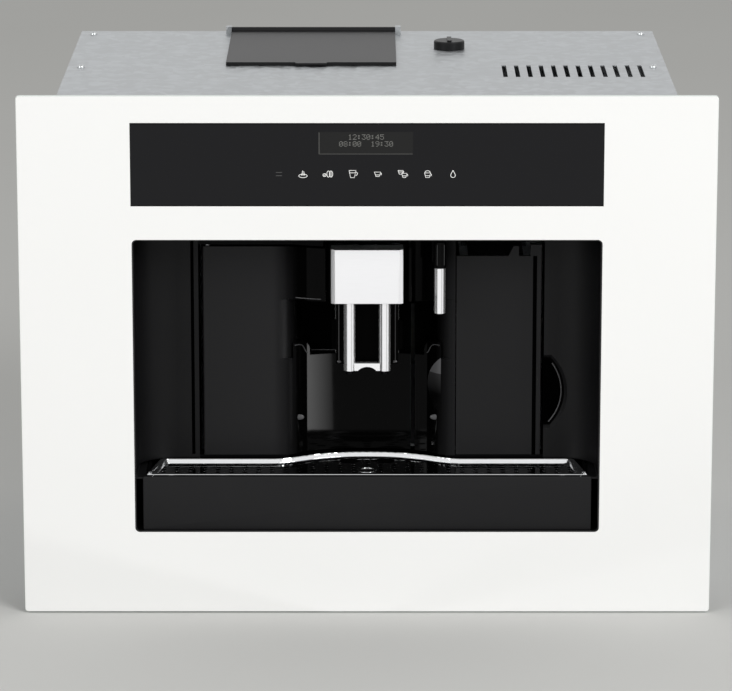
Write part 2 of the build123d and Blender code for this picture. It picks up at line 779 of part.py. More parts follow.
def cup_grille():
    low = tray_rim + running
    plate = prism(grille_outline(), (low, low + grille_lip))
    well = (low + grille_sheet, low + grille_lip + 1)
    plate -= prism(grille_outline(grille_lip_width), well)
    plate -= block((-grille_half - 1, grille_half + 1),
                   (grille_front - 1, grille_front + grille_lip_width + 1), well)
    plate += upright(0, float_depth, (low, low + grille_lip), float_radius + 0.5 + float_ring)
    holes = []
    columns = int((grille_half - 2 * grille_lip_width) / hole_pitch_x)
    keep = [(x, y, foot_radius) for x, y in foot_holes]
    keep.append((0, float_depth, float_radius + 0.5 + float_ring))
    for column in range(-columns, columns + 1):
        x = column * hole_pitch_x
        for row in range(hole_rows):
            y = grille_front + hole_front + row * hole_pitch_y
            if y > hole_limit(abs(x)) or not clear_of(x, y, keep):
                continue
            holes.append(Pos(x, y) * Circle(hole_radius))
    holes += [Pos(x, y) * Circle(foot_radius) for x, y in foot_holes]
    holes.append(Pos(0, float_depth) * Circle(float_radius + 0.5))
    plate -= Pos(0, 0, low - 1) * extrude(Sketch() + holes, grille_lip + 2)
    save(plate, "cup_grille")


def hole_limit(x):
    """How far back a hole may lie at a place across the grille."""
    margin = grille_lip_width + hole_radius + 1
    spare = grille_half - grille_lip_width - hole_radius - 0.6 - x
    if spare < grille_taper:
        return grille_front + (grille_side_back - grille_front) * spare / grille_taper
    if x > cowl_half + 8:
        return grille_side_back - margin
    return (grille_mid_back if x < cowl_half / 2 else (grille_side_back + grille_mid_back) / 2) - margin


def clear_of(x, y, large):
    """Whether a hole keeps off the large holes and the float's ring."""
    return all(math.dist((x, y), (cx, cy)) > radius + hole_radius + 0.8 for cx, cy, radius in large)


def drip_tray():
    back = tray_front_depth + tray_front_sheet
    tray = block((-tray_half, tray_half), (back, tray_back), (tray_low, tray_rim))
    floor = tray_low + tray_wall
    tray -= block((-tray_half + tray_wall, tray_half - tray_wall), (back + tray_wall, tray_back - tray_wall),
                  (floor, tray_rim + 1))
    tray += upright(0, float_depth, (floor - 1, floor + 24), float_radius + running + 1.8)
    tray -= upright(0, float_depth, (floor, floor + 25), float_radius + running)
    save(tray, "drip_tray")

    facia = front_plate((-tray_front_half, tray_front_half), (tray_low, tray_rim),
                        (tray_front_depth, back), 1.5)
    save(facia, "tray_front")

    bin_z = (floor + running, tray_rim - 1)
    grounds = block((bin_left, bin_right), (bin_front, tray_back - tray_wall - running), bin_z)
    grounds -= block((bin_left + 2, bin_right - 2), (bin_front + 2, tray_back - tray_wall - running - 2),
                     (bin_z[0] + 2, bin_z[1] + 1))
    save(grounds, "grounds_bin")

    buoy = upright(0, float_depth, (floor + running, float_high), float_radius)
    buoy = chamfer(buoy.faces().sort_by(Axis.Z)[-1].edges(), 0.8)
    save(buoy, "tray_float")


# ---------------------------------------------------------------- water tank
def water_tank():
    left = tank_left
    front_y = bay_depth + tank_face_sheet
    low = shelf_top + tank_ride
    tank = block((left, tank_body_right), (front_y, tank_back), (low, tank_top))
    tank = fillet(tank.edges().filter_by(Axis.Z).group_by(Axis.Y)[-1], 8)
    tank -= block((left + tank_wall, tank_body_right - tank_wall),
                  (front_y + tank_wall, tank_back - tank_wall),
                  (low + tank_wall, tank_top - tank_wall))
    mouth_x = (left + 8, tank_body_right - 8)
    axis_y = tank_lid_axis
    tank -= block((mouth_x[0] + 4, mouth_x[1] - 4), (front_y + 14, axis_y - 12), (tank_top - 5, tank_top + 1))
    for ear in hinge_ears(mouth_x, axis_y, tank_top):
        tank += ear
    nipple_x = (left + tank_body_right) / 2
    tank += along_depth(nipple_x, (tank_back - 1, tank_back + 16), nipple_height, nipple_radius)
    tank -= along_depth(nipple_x, (tank_back - tank_wall - 1, tank_back + 17), nipple_height,
                        nipple_radius - 2)
    save(tank, "water_tank")
    save(lid(mouth_x, front_y + 12, axis_y, tank_top, 10), "tank_lid")

    face_x = (column_right + 0.8, tank_right)
    face = block(face_x, (bay_depth, front_y), (shelf_top + 0.8, tank_face_top))
    groove = (tank_right - tank_groove_inset - tank_groove_width / 2,
              tank_right - tank_groove_inset + tank_groove_width / 2)
    face -= block(groove, (bay_depth - 1, bay_depth + tank_groove_deep), (shelf_top, tank_face_top + 1))
    tab_x = [tank_right - inset for inset in tab_inset]
    tab_top = tank_face_top + tab_rise
    face += make_tab([(tab_x[0], tank_face_top - 1), (tab_x[1], tab_top), (tab_x[2], tab_top),
                      (tab_x[2], tank_face_top - 1)])
    face += block((tank_right - catch_width, tank_right), (bay_depth, front_y),
                  (tank_face_top, tank_face_top + catch_rise))
    save(face, "tank_front")

    dock = block((left, tank_body_right), (front_y + 6, tank_back + 22), (shelf_top, low - running))
    dock += block((nipple_x - 18, nipple_x + 18), (tank_back + 2, tank_back + 22),
                  (shelf_top, nipple_height + 18))
    dock -= along_depth(nipple_x, (tank_back, tank_back + 18), nipple_height, nipple_radius + pin_clear)
    dock -= along_depth(nipple_x, (tank_back, tank_back + 23), nipple_height, 3.5)
    save(dock, "tank_dock")


def make_tab(points):
    """A tab of the tank's front plate, from its outline across and in height."""
    face = make_face(Polyline(*points, close=True))
    return Pos(0, bay_depth + tank_face_sheet, 0) * Rot(90, 0, 0) * extrude(face, tank_face_sheet)


# ---------------------------------------------------------------- brew unit
def gear(x, y, z, teeth, turn):
    """A spur gear with straight-flanked teeth, narrowed by the backlash."""
    pitch_radius = gear_module * teeth / 2
    root, tip = pitch_radius - 1.15 * gear_module, pitch_radius + 0.85 * gear_module
    half_root = (math.pi * gear_module / 4 + 0.42 * gear_module - gear_backlash / 2) / pitch_radius
    half_tip = (math.pi * gear_module / 4 - 0.34 * gear_module - gear_backlash / 2) / pitch_radius
    points = []
    for tooth in range(teeth):
        middle = math.radians(turn) + 2 * math.pi * tooth / teeth
        for radius, angle in ((root, -half_root), (tip, -half_tip), (tip, half_tip), (root, half_root)):
            points.append((x + radius * math.cos(middle + angle), y + radius * math.sin(middle + angle)))
    return prism(outline(*points), z)


def brew_unit():
    left, right = brew_x - brew_half, brew_x + brew_half
    floor = shelf_top + 4
    frame = block((left, right), (brew_front, brew_back), (shelf_top, brew_top))
    frame -= block((left + brew_wall, right - brew_wall), (brew_front - 1, brew_back - brew_wall),
                   (floor, brew_top - brew_wall))
    frame -= block((bin_left + 14, bin_right - 44), (brew_front + 12, brew_depth + 26),
                   (shelf_top - 1, floor + 1))
    frame -= block((brew_x - 16, brew_x + 16), (brew_back - brew_wall - 1, brew_back + 1),
                   (chamber_low + chamber_height - 1, grinder_low - 22))
    frame += upright(guide_x, brew_depth, (floor - 1, brew_top - 1), guide_radius)
    motor_y = brew_depth + gear_module * (gear_teeth + pinion_teeth) / 2
    motor_z = (gear_low + gear_thick + 4, gear_low + gear_thick + 4 + motor_length)
    frame += block((screw_x - motor_radius, screw_x + motor_radius), (motor_y - 12, brew_back - 1),
                   (motor_z[0] - 3, motor_z[0]))
    frame -= upright(screw_x, motor_y, (motor_z[0] - 4, motor_z[0] + 1), shaft_radius + 1)
    frame += upright(screw_x, brew_depth, (floor - 1, gear_low - running), 8)
    frame -= upright(screw_x, brew_depth, (floor - 3, gear_low + 1), 4 + pin_clear)
    frame -= upright(screw_x, brew_depth, (brew_top - brew_wall - 1, brew_top + 1), 4 + pin_clear)
    button_y, button_z = brew_depth - 36, brew_top - 30
    frame -= along_width((right - brew_wall - 1, right + 1), button_y, button_z, button_radius + pin_clear)
    save(frame, "brew_frame")

    button = along_width((right - brew_wall - 4, right + 6), button_y, button_z, button_radius)
    button += along_width((right - brew_wall - 6, right - brew_wall - 0.3), button_y, button_z,
                          button_radius + 2)
    save(button, "release_button")

    chamber_z = (chamber_low, chamber_low + chamber_height)
    chamber = upright(brew_x, brew_depth, chamber_z, chamber_radius)
    chamber += block((guide_x - 8, screw_x + 9), (brew_depth - 8, brew_depth + 8),
                     (chamber_z[0], chamber_z[0] + 16))
    chamber -= upright(brew_x, brew_depth, (chamber_z[0] + 5, chamber_z[1] + 1), chamber_bore)
    chamber -= upright(guide_x, brew_depth, (chamber_z[0] - 1, chamber_z[1]), guide_radius + pin_clear)
    chamber -= upright(screw_x, brew_depth, (chamber_z[0] - 1, chamber_z[1]), screw_radius + pin_clear)
    save(chamber, "brew_chamber")

    piston = upright(brew_x, brew_depth, (piston_low, piston_low + piston_thick), chamber_bore - piston_clear)
    piston += upright(brew_x, brew_depth, (piston_low + 2, brew_top - brew_wall), 11)
    save(piston, "upper_piston")

    screw = upright(screw_x, brew_depth, (floor, brew_top + 4), 4)
    screw += upright(screw_x, brew_depth, (gear_low, brew_top - brew_wall - running), screw_radius)
    screw += gear(screw_x, brew_depth, (gear_low, gear_low + gear_thick), gear_teeth, 90)
    save(screw, "lead_screw")

    pinion = gear(screw_x, motor_y, (gear_low, gear_low + gear_thick), pinion_teeth, 90 + 180 / pinion_teeth)
    pinion += upright(screw_x, motor_y, (gear_low, motor_z[0] - running), shaft_radius)
    save(pinion, "motor_pinion")
    save(upright(screw_x, motor_y, motor_z, motor_radius), "gear_motor")

    mouth = (grinder_depth - grinder_motor_radius - 15, grinder_depth - grinder_motor_radius - 1)
    spill = brew_depth + chamber_radius + 3
    spill_z = chamber_low + chamber_height
    chute = side_prism([(mouth[0], grinder_low), (mouth[1], grinder_low), (mouth[1], grinder_low - 32),
                        (spill, spill_z), (spill, spill_z + 16), (mouth[0], grinder_low - 24)],
                       (brew_x - 12, brew_x + 12))
    chute -= side_prism([(mouth[0] + 2, grinder_low + 1), (mouth[1] - 2, grinder_low + 1),
                         (mouth[1] - 2, grinder_low - 31), (spill - 1, spill_z + 1.6),
                         (spill - 1, spill_z + 12), (mouth[0] + 2, grinder_low - 25)],
                        (brew_x - 10, brew_x + 10))
    save(chute, "brew_chute")


# ---------------------------------------------------------------- grinder
def grinder():
    body = upright(brew_x, grinder_depth, (grinder_low, grinder_high), grinder_radius)
    burr_z = (grinder_low + 10, grinder_high - 12)
    body -= upright(brew_x, grinder_depth, (burr_z[0] - 4, burr_z[1] + 6), burr_radius + 2)
    body -= upright(brew_x, grinder_depth, (burr_z[1], grinder_high + 1), 17)
    body -= upright(brew_x, grinder_depth, (grinder_low - 1, burr_z[0]), shaft_radius + pin_clear)
    body -= block((brew_x - 9, brew_x + 9),
                  (grinder_depth - grinder_motor_radius - 13, grinder_depth - grinder_motor_radius - 3),
                  (grinder_low - 1, burr_z[0]))
    save(body, "grinder_body")

    burr = upright(brew_x, grinder_depth, (burr_z[0], burr_z[0] + 10), burr_radius)
    burr += Pos(brew_x, grinder_depth, burr_z[0] + 16) * Cone(burr_radius - 6, 9, 12)
    burr += upright(brew_x, grinder_depth, (grinder_low - 3, burr_z[0] + 1), shaft_radius)
    for cut in range(12):
        burr -= Pos(brew_x, grinder_depth, burr_z[0] + 11) * Rot(0, 0, 30 * cut) * \
            Pos(burr_radius - 4, 0, 0) * Rot(0, 25, 0) * Box(16, 2, 4)
    save(burr, "lower_burr")

    motor_z = (grinder_low - 92, grinder_low)
    motor = upright(brew_x, grinder_depth, motor_z, grinder_motor_radius)
    motor -= upright(brew_x, grinder_depth, (grinder_low - 4, grinder_low + 1), shaft_radius + 1)
    motor += upright(brew_x, grinder_depth, (shelf_top, motor_z[0] + 1), 22)
    save(motor, "grinder_motor")

    neck = hopper_neck
    box_z = (hopper_funnel_top, machine_top - sheet)
    span_x, span_y = (hopper_left, hopper_right), (hopper_front, hopper_back)
    walls = block(span_x, span_y, box_z)
    walls -= block((span_x[0] + 2, span_x[1] - 2), (span_y[0] + 2, span_y[1] - 2),
                   (box_z[0] - 1, box_z[1] + 1))
    save(walls, "bean_hopper")
    funnel = hopper_shape(0, neck) + upright(brew_x, grinder_depth, (grinder_high, grinder_high + 8), neck)
    funnel -= hopper_shape(2, neck - 3)
    funnel -= upright(brew_x, grinder_depth, (grinder_high - 1, grinder_high + 9), neck - 3)
    save(funnel, "hopper_funnel")
    save(lid((hopper_left + 4, hopper_right - 4), hopper_front + 2, hopper_back - 4, machine_top + sheet, 14),
         "hopper_lid")

    knob = upright(knob_x, knob_depth, (machine_top + sheet + running, machine_top + 9), knob_radius)
    knob = fillet(knob.faces().sort_by(Axis.Z)[-1].edges(), 1.5)
    knob += block((knob_x - 2, knob_x + 2), (knob_depth - 11, knob_depth + 11),
                  (machine_top + 8, machine_top + 10.5))
    knob += upright(knob_x, knob_depth, (machine_top - 20, machine_top + 3), shaft_radius)
    save(knob, "grind_knob")


def hopper_shape(wall, neck):
    """The sloping part of the bean hopper, from the box above down to the square neck."""
    low = grinder_high + 6
    top = Pos((hopper_left + hopper_right) / 2, (hopper_front + hopper_back) / 2, hopper_funnel_top) * \
        Rectangle(hopper_right - hopper_left - 2 * wall, hopper_back - hopper_front - 2 * wall)
    base = Pos(brew_x, grinder_depth, low) * Rectangle(2 * neck, 2 * neck)
    return loft([base, top])


# ---------------------------------------------------------------- water, heat and power
def services():
    block_x = (tank_body_right + heater_gap, side_inner - heater_side)
    block_y = (heater_front, overall_depth - heater_behind)
    block_z = (shelf_top + heater_lift, heater_top)
    heater = block(block_x, block_y, block_z)
    for fin in range(6):
        fin_z = block_z[0] + 8 + fin * 14
        heater -= block((block_x[0] - 1, block_x[0] + 8), (block_y[0] - 1, block_y[1] + 1),
                        (fin_z, fin_z + 6))
    for x in (block_x[0] + 14, block_x[1] - 14):
        for y in (block_y[0] + 14, block_y[1] - 14):
            heater += upright(x, y, (shelf_top, block_z[0] + 1), 5)
    pipe_x, pipe_y = heater_pipe_x, heater_pipe_depth
    inlet_y, port_z = block_y[1] + 18, block_z[1] - heater_port_drop
    heater += along_depth(pipe_x, (block_y[1] - 1, inlet_y), port_z, 5)
    heater += upright(pipe_x, pipe_y, (block_z[1] - 1, block_z[1] + 12), 5)
    save(heater, "thermoblock")

    pump_z, pump_back = shelf_top + pump_lift, pump_depth + pump_length
    pump = block((pump_x - 22, pump_x + 22), (pump_depth + 16, pump_back - 28), (pump_z - 20, pump_z + 20))
    pump += along_depth(pump_x, (pump_depth, pump_back), pump_z, pump_nipple)
    pump += block((pump_x - 14, pump_x + 14), (pump_depth + 26, pump_back - 38), (shelf_top, pump_z - 19))
    save(pump, "pump")

    tank_mid = (tank_left + tank_body_right) / 2
    loop_y, turn_y = pump_back + 16, pump_depth - 10
    save(hose(supply_radius, (tank_mid, tank_back + 22, nipple_height), (tank_mid, loop_y, nipple_height),
              (pump_x, loop_y, pump_z + 40), (pump_x, loop_y + 12, pump_z), (pump_x, pump_back, pump_z),
              bend=supply_bend), "hose_supply")
    save(hose(pressure_radius, (pump_x, pump_depth, pump_z), (pump_x, turn_y, pump_z),
              (pipe_x, turn_y, port_z - 16), (pipe_x, turn_y, port_z), (pipe_x, inlet_y, port_z),
              bend=pressure_bend), "hose_pressure")
    save(hose(pressure_radius, (pipe_x, pipe_y, block_z[1] + 12), (pipe_x, pipe_y, brew_hose_high),
              (brew_x, pipe_y, brew_hose_high), (brew_x, pipe_y, brew_top), bend=brew_hose_bend), "hose_brew")

    board_x = -side_inner + 8
    board_y = (power_front, overall_depth - power_behind)
    power = block((board_x, board_x + 1.6), board_y, (power_low, power_high))
    for y in (board_y[0] + 10, board_y[1] - 10):
        for z in (power_low + 10, power_high - 10):
            power += along_width((-side_inner, board_x + 1), y, z, 4)
    power += block((board_x + 1, board_x + 32), (board_y[0] + 30, board_y[0] + 80),
                   (power_low + 20, power_low + 65))
    power += block((board_x + 1, board_x + 20), (board_y[0] + 100, board_y[1] - 30),
                   (power_low + 15, power_low + 50))
    for index in range(4):
        power += along_width((board_x + 1, board_x + 26), board_y[0] + 40 + 34 * index, power_high - 40, 11)
    save(power, "power_board")

    low, high = inlet_height - 12, inlet_height + 12
    inlet = block((inlet_x - 14, inlet_x + 14), (back_face - 22, inlet_back - 1), (low, high))
    inlet += block((inlet_x - 17, inlet_x + 17), (back_face + sheet, inlet_back), (low - 2, high + 2))
    inlet -= block((inlet_x - 12, inlet_x + 12), (back_face - 17, inlet_back + 1), (low + 4, high - 4))
    for x, z in ((-7, -3), (0, 3), (7, -3)):
        inlet += block((inlet_x + x - 1, inlet_x + x + 1), (back_face - 18, inlet_back - 4),
                       (inlet_height + z - 2, inlet_height + z + 2))
    box = block((switch_x - 11, switch_x + 11), (back_face - 22, inlet_back - 1), (low, high))
    box += block((switch_x - 14, switch_x + 14), (back_face + sheet, inlet_back), (low - 2, high + 2))
    inlet += box + block((inlet_x + 13, switch_x), (back_face - 21, back_face - 17), (low + 6, high - 6))
    inlet -= along_width((switch_x - rocker_length / 2 - running, switch_x + rocker_length / 2 + running),
                         back_face - 6, inlet_height, pocket_radius)
    inlet -= along_width((switch_x - rocker_length / 2 - 3, switch_x + rocker_length / 2 + 3),
                         back_face - 6, inlet_height, lid_pin + pin_clear)
    save(inlet, "mains_inlet")

    rocker = along_width((switch_x - rocker_length / 2, switch_x + rocker_length / 2), back_face - 6,
                         inlet_height, rocker_radius)
    rocker -= Pos(switch_x, back_face + 3.2, inlet_height + 8) * Rot(16, 0, 0) * Box(rocker_length + 1, 6, 20)
    rocker += along_width((switch_x - rocker_length / 2 - 2.5, switch_x + rocker_length / 2 + 2.5),
                          back_face - 6, inlet_height, lid_pin)
    save(rocker, "power_switch")


runners()
housing()
front()
bay_walls()
service_door()
coffee_spout()
hot_water()
cup_grille()
drip_tray()
water_tank()
brew_unit()
grinder()
services()
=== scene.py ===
# %% [markdown]
# # A built-in coffee machine, dressed in Blender
# The CAD model comes in as a fixed frame: every node lies where it belongs and knows which body
# it moves with. This script gives each node the finish of the real part and models the small
# things that CAD leaves out, so that looks and dimensions can't drift apart.

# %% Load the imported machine
import math

import bmesh
import bpy
from mathutils import Matrix, Vector
from mathutils.bvhtree import BVHTree


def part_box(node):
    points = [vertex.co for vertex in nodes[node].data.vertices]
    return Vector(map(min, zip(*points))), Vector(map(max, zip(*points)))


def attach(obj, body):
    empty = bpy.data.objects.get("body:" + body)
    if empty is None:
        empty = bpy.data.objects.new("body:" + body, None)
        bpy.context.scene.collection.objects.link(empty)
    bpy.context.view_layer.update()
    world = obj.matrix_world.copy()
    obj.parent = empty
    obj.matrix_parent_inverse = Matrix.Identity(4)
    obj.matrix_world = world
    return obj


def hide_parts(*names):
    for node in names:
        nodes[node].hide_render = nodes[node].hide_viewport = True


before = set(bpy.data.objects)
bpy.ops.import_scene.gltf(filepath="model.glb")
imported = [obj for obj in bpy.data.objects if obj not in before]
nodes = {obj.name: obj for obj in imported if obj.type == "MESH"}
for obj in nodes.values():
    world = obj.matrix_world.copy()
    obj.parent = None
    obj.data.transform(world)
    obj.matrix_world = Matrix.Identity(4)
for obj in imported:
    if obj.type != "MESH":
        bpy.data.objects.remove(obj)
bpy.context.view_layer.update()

# %% [markdown]
# ## One ruler for the whole script
# The drawings measure in millimetres: across from the middle, back from the front of the glass,
# and up from its lower edge. A small function turns such a place into the metres of the frame, so
# that every number below can be checked against the drawings.

# %% Places in millimetres
MM = 0.001
glass_corner_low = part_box("front_glass")[0]


def at(across, depth, height):
    """A place given in millimetres, as a point of the frame in metres."""
    return Vector((across * MM, glass_corner_low.y + depth * MM, glass_corner_low.z + height * MM))


print("glass front at y =", round(glass_corner_low.y, 4), "m, lower edge at z =",
      round(glass_corner_low.z, 4), "m")

# %% [markdown]
# ## The camera
# The picture was taken from far away with a long lens, a little above the machine, as the upright
# edges of the white panel hardly lean in. A 208 mm lens on a 36 mm sensor at 3.5 m gives the same
# lean, and a tiny sideways shift puts the panel where it stands in the picture.

# %% Camera
CAMERA_PLACE = (0.0, -3.7245, 1.09135)
CAMERA_TILT = 13.59
LENS_MM = 208.1
PICTURE_WIDTH = 732
SIDE_SHIFT_PX = 1.1

camera_data = bpy.data.cameras.new("long_lens")
camera_data.lens = LENS_MM
camera_data.sensor_width = 36.0
camera_data.shift_x = -SIDE_SHIFT_PX / PICTURE_WIDTH
camera_data.clip_end = 100.0
camera = bpy.data.objects.new("camera", camera_data)
camera.location = CAMERA_PLACE
camera.rotation_euler = (math.radians(90 - CAMERA_TILT), 0, 0)
bpy.context.scene.collection.objects.link(camera)
bpy.context.scene.camera = camera
print("camera", LENS_MM, "mm, tilted", CAMERA_TILT, "degrees down")

# %% [markdown]
# ## Colour and nodes
# Painters' colours are written in sRGB hex, while the renderer counts in linear light, so one
# function converts. A second one adds a shader node with all its values: settings, numbers,
# colours and the outputs of other nodes. Every finish below is built with these two.


# %% Colour and node helpers
def linear(hex_colour):
    """An sRGB hex colour as linear red, green, blue and alpha."""
    parts = [int(hex_colour[i:i + 2], 16) / 255 for i in (1, 3, 5)]
    light = [p / 12.92 if p <= 0.04045 else ((p + 0.055) / 1.055) ** 2.4 for p in parts]
    return (*light, 1.0)


def add(tree, kind, values):
    """Adds a node and sets its values; another node's output is plugged in."""
    node = tree.nodes.new(kind)
    for name, value in values.items():
        if not isinstance(name, int) and name not in node.inputs:
            setattr(node, name, value)
        elif isinstance(value, bpy.types.NodeSocket):
            tree.links.new(value, node.inputs[name])
        else:
            node.inputs[name].default_value = linear(value) if isinstance(value, str) else value
    return node


print("white is", [round(v, 3) for v in linear("#f4f4f2")])

# %% [markdown]
# ## How a finish is put together
# A real surface is never one flat colour. Each finish has two close tones that drift over the
# part, a roughness that varies with its grain, and a relief that catches the light. Sharp CAD
# edges get a small rounded normal, as no moulded or pressed edge is a knife edge. All patterns
# are read from Object coordinates, so they stay with the part.


# %% A material and its sums
def surface(name, **values):
    """A new material with one Principled shader, whose plain values are set on its sockets."""
    made = bpy.data.materials.new(name)
    made.use_nodes = True
    tree = made.node_tree
    tree.nodes.clear()
    shader = add(tree, "ShaderNodeBsdfPrincipled", values)
    add(tree, "ShaderNodeOutputMaterial", {"Surface": shader.outputs[0]})
    return made, tree, shader, add(tree, "ShaderNodeTexCoord", {}).outputs["Object"]


def wire_up(tree, shader, tone, rough, normal, **more):
    """Plugs a finish's colour, roughness and relief into its shader."""
    sockets = {"Base Color": tone, "Roughness": rough, "Normal": normal, **more}
    for name, socket in sockets.items():
        tree.links.new(socket, shader.inputs[name])


def calc(tree, operation, first, second=0.0):
    """One sum with two numbers."""
    return add(tree, "ShaderNodeMath", {"operation": operation, 0: first, 1: second}).outputs[0]


def along(tree, place, axis):
    """How far a place lies along one axis."""
    return add(tree, "ShaderNodeSeparateXYZ", {0: place}).outputs["XYZ".index(axis)]


def beyond(tree, place, axis, limit):
    """1 where the part lies beyond a limit along one axis, and 0 before it."""
    return calc(tree, "GREATER_THAN", along(tree, place, axis), limit)


print("a part's coordinates can be split and compared")


# %% Patterns
def grain(tree, place, size_mm, stretch=(1, 1, 1), detail=2.0):
    """Noise with blotches about size_mm across; a stretch below 1 draws them out along an axis."""
    drawn = add(tree, "ShaderNodeMapping", {"Scale": stretch, "Vector": place}).outputs[0]
    noise = {"Scale": 1 / (size_mm * MM), "Detail": detail, "Vector": drawn}
    return add(tree, "ShaderNodeTexNoise", noise).outputs[0]


def two_tone(tree, factor, dark, light):
    """A colour that goes from dark to light with the factor."""
    tones = {"data_type": "RGBA", 0: factor, 6: dark, 7: light}
    return add(tree, "ShaderNodeMix", tones).outputs[2]


def two_values(tree, factor, low, high):
    """A number that goes from low to high with the factor."""
    values = {"data_type": "FLOAT", 0: factor, 2: low, 3: high}
    return add(tree, "ShaderNodeMix", values).outputs[0]


def span(tree, factor, low, high, start=0.3, end=0.7):
    """A number that goes from low to high while the factor goes from start to end."""
    limits = {"From Min": start, "From Max": end, "To Min": low, "To Max": high}
    return add(tree, "ShaderNodeMapRange", {"Value": factor, **limits}).outputs[0]


def relief(tree, height, depth_mm, edge_mm=0.35):
    """The bump of a grain, laid over softly rounded edges."""
    edge = add(tree, "ShaderNodeBevel", {"samples": 4, "Radius": edge_mm * MM}).outputs[0]
    bump = {"Strength": 1.0, "Distance": depth_mm * MM, "Height": height, "Normal": edge}
    return add(tree, "ShaderNodeBump", bump).outputs[0]


print("a finish is two tones, a grain and a relief")


# %% Families of finish
DRIFT_MM = 55


def moulded(name, dark, light, rough, grain_mm=0.8, depth_mm=0.01, edge_mm=0.35, hollow_mm=None,
            **values):
    """Moulded plastic with the pebble of its tool; beyond a depth, if given, it gets painted shade.
    """
    made, tree, shader, place = surface(name, **values)
    pebble = grain(tree, place, grain_mm)
    tone = two_tone(tree, grain(tree, place, DRIFT_MM), dark, light)
    more = {}
    if hollow_mm is not None:
        # Painted shade: beyond the depth the tone goes near black and the reflection is tinted
        # down.
        painted_shade = beyond(tree, place, "Y", at(0, hollow_mm, 0).y)
        tone = two_tone(tree, painted_shade, tone, "#020202")
        more = {"Specular Tint": two_tone(tree, painted_shade, "#ffffff", "#202020")}
    wire_up(tree, shader, tone, span(tree, pebble, *rough),
            relief(tree, pebble, depth_mm, edge_mm), **more)
    return made


def metal(name, dark, light, rough, line_mm=0.35, stretch=(1, 1, 1), depth_mm=0.003, edge_mm=0.3,
          metallic=1.0):
    """Metal whose brush or roll lines are drawn out along one axis."""
    made, tree, shader, place = surface(name, Metallic=metallic)
    lines = grain(tree, place, line_mm, stretch, 3.0)
    wire_up(tree, shader, two_tone(tree, lines, dark, light), span(tree, lines, *rough),
            relief(tree, lines, depth_mm, edge_mm))
    return made


print("families: moulded plastic, metal")

# %% [markdown]
# ## Glass
# The front is one sheet of tempered glass with white enamel on its back. It looks flat white, but
# its face is the smoothest thing on the machine, and where the sheet is cut the iron in the glass
# shows pale green. That edge tone depends only on the depth behind the face.


# %% Glass finishes
CUT_EDGE_DEPTH = 0.35
WINDOW_RIM_LOW, WINDOW_RIM_HIGH = 1.0, 1.7
WINDOW_GLOSS = 0.12


def enamelled_glass():
    """Tempered glass, white enamel behind: bright, mirror smooth, pale green at the cut edge."""
    made, tree, shader, place = surface("white_enamelled_glass", IOR=1.52)
    face = two_tone(tree, grain(tree, place, 120), "#f8f8f7", "#fafaf9")
    cut_edge = beyond(tree, place, "Y", at(0, CUT_EDGE_DEPTH, 0).y)
    wire_up(tree, shader, two_tone(tree, cut_edge, face, "#dbe6df"),
            span(tree, grain(tree, place, 30), 0.04, 0.08),
            relief(tree, grain(tree, place, 80), 0.01, 0.3))
    return made


def printed_glass():
    """Black glass over the electronics: deep and smooth, a faint grey print, darker rims."""
    made, tree, shader, place = surface("black_printed_glass", IOR=1.5,
                                        **{"Specular IOR Level": WINDOW_GLOSS})
    low, high = (corner.z for corner in map(Vector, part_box("control_window")))
    body = beyond(tree, place, "Z", low + WINDOW_RIM_LOW * MM)
    rim = beyond(tree, place, "Z", high - WINDOW_RIM_HIGH * MM)
    tone = two_tone(tree, rim, two_tone(tree, body, "#020202", "#18181a"), "#0b0b0c")
    wire_up(tree, shader, tone, span(tree, grain(tree, place, 25), 0.10, 0.14),
            relief(tree, grain(tree, place, 60), 0.004, 0.1))
    return made


white_glass, window_glass = enamelled_glass(), printed_glass()
print("glass:", white_glass.name, window_glass.name)

# %% [markdown]
# ## Black plastics
# Nearly all of the bay is black, yet it reads as many parts because each black differs: the
# liners scatter a little grey light, and the tray front has a soft satin. So each gets its own
# roughness and tone, a step or two of grey apart. Grooves and recesses of the liners and the tank
# front get painted shade: beyond a depth they turn near black and mirror little. The tank and the
# hopper are of a smoked clear plastic, which lets most of the light through.

# %% Black plastics
LINER_TONES, SATIN_TONES, TRIM_TONES = (("#0c0c0d", "#101011"), ("#171718", "#1a1a1b"),
                                        ("#050506", "#08080a"))
# Depths in millimetres behind the glass where the painted shade of the liners and tank front
# starts.
LINER_SHADE_FROM, TANK_SHADE_FROM = 62.5, 61.5


def black(name, dark, light, rough, gloss, grain_mm=0.8, depth_mm=0.008, edge_mm=0.4, **values):
    """A black plastic; gloss is how much of the room it mirrors at all, from 0 to 1."""
    return moulded(name, dark, light, rough, grain_mm, depth_mm, edge_mm,
                   **{"Specular IOR Level": gloss}, **values)


textured = (*LINER_TONES, (0.42, 0.55), 0.14, 0.9, 0.012, 0.5)
satin = (*SATIN_TONES, (0.36, 0.44), 0.14, 0.7, 0.006)
textured_abs = black("textured_black_abs", *textured)
liner_abs = black("textured_liner_abs", *textured, hollow_mm=LINER_SHADE_FROM)
satin_abs = black("satin_black_abs", *satin)
tank_abs = black("satin_tank_abs", *satin, hollow_mm=TANK_SHADE_FROM)
tray_abs = black("soft_satin_tray_front", "#19191a", "#1c1c1d", (0.42, 0.5), 0.14, 0.7, 0.006, 0.5)
deep_abs = black("dull_black_pp", "#050506", "#080809", (0.55, 0.7), 0.06, 1.2, 0.02)
carriage_abs = black("black_pa_carriage", "#020202", "#030303", (0.3, 0.4), 0.012, 1.0, 0.01)
gloss_trim = black("gloss_black_trim", *TRIM_TONES, (0.08, 0.12), 0.7, 6.0, 0.002, 0.1)
# A grey that stands in for highlights: painted highlight on beads and stops.
painted_highlight_grey = black("grey_painted_highlight", "#444445", "#4e4e50", (0.2, 0.3), 0.3, 3.0, 0.002, 0.1)
smoked = moulded("smoked_clear_san", "#7f868a", "#8b9296", (0.06, 0.1), 30, 0.004, 0.3, IOR=1.57,
                 **{"Transmission Weight": 0.85})
print("black plastics:", textured_abs.name, satin_abs.name, tray_abs.name, deep_abs.name)
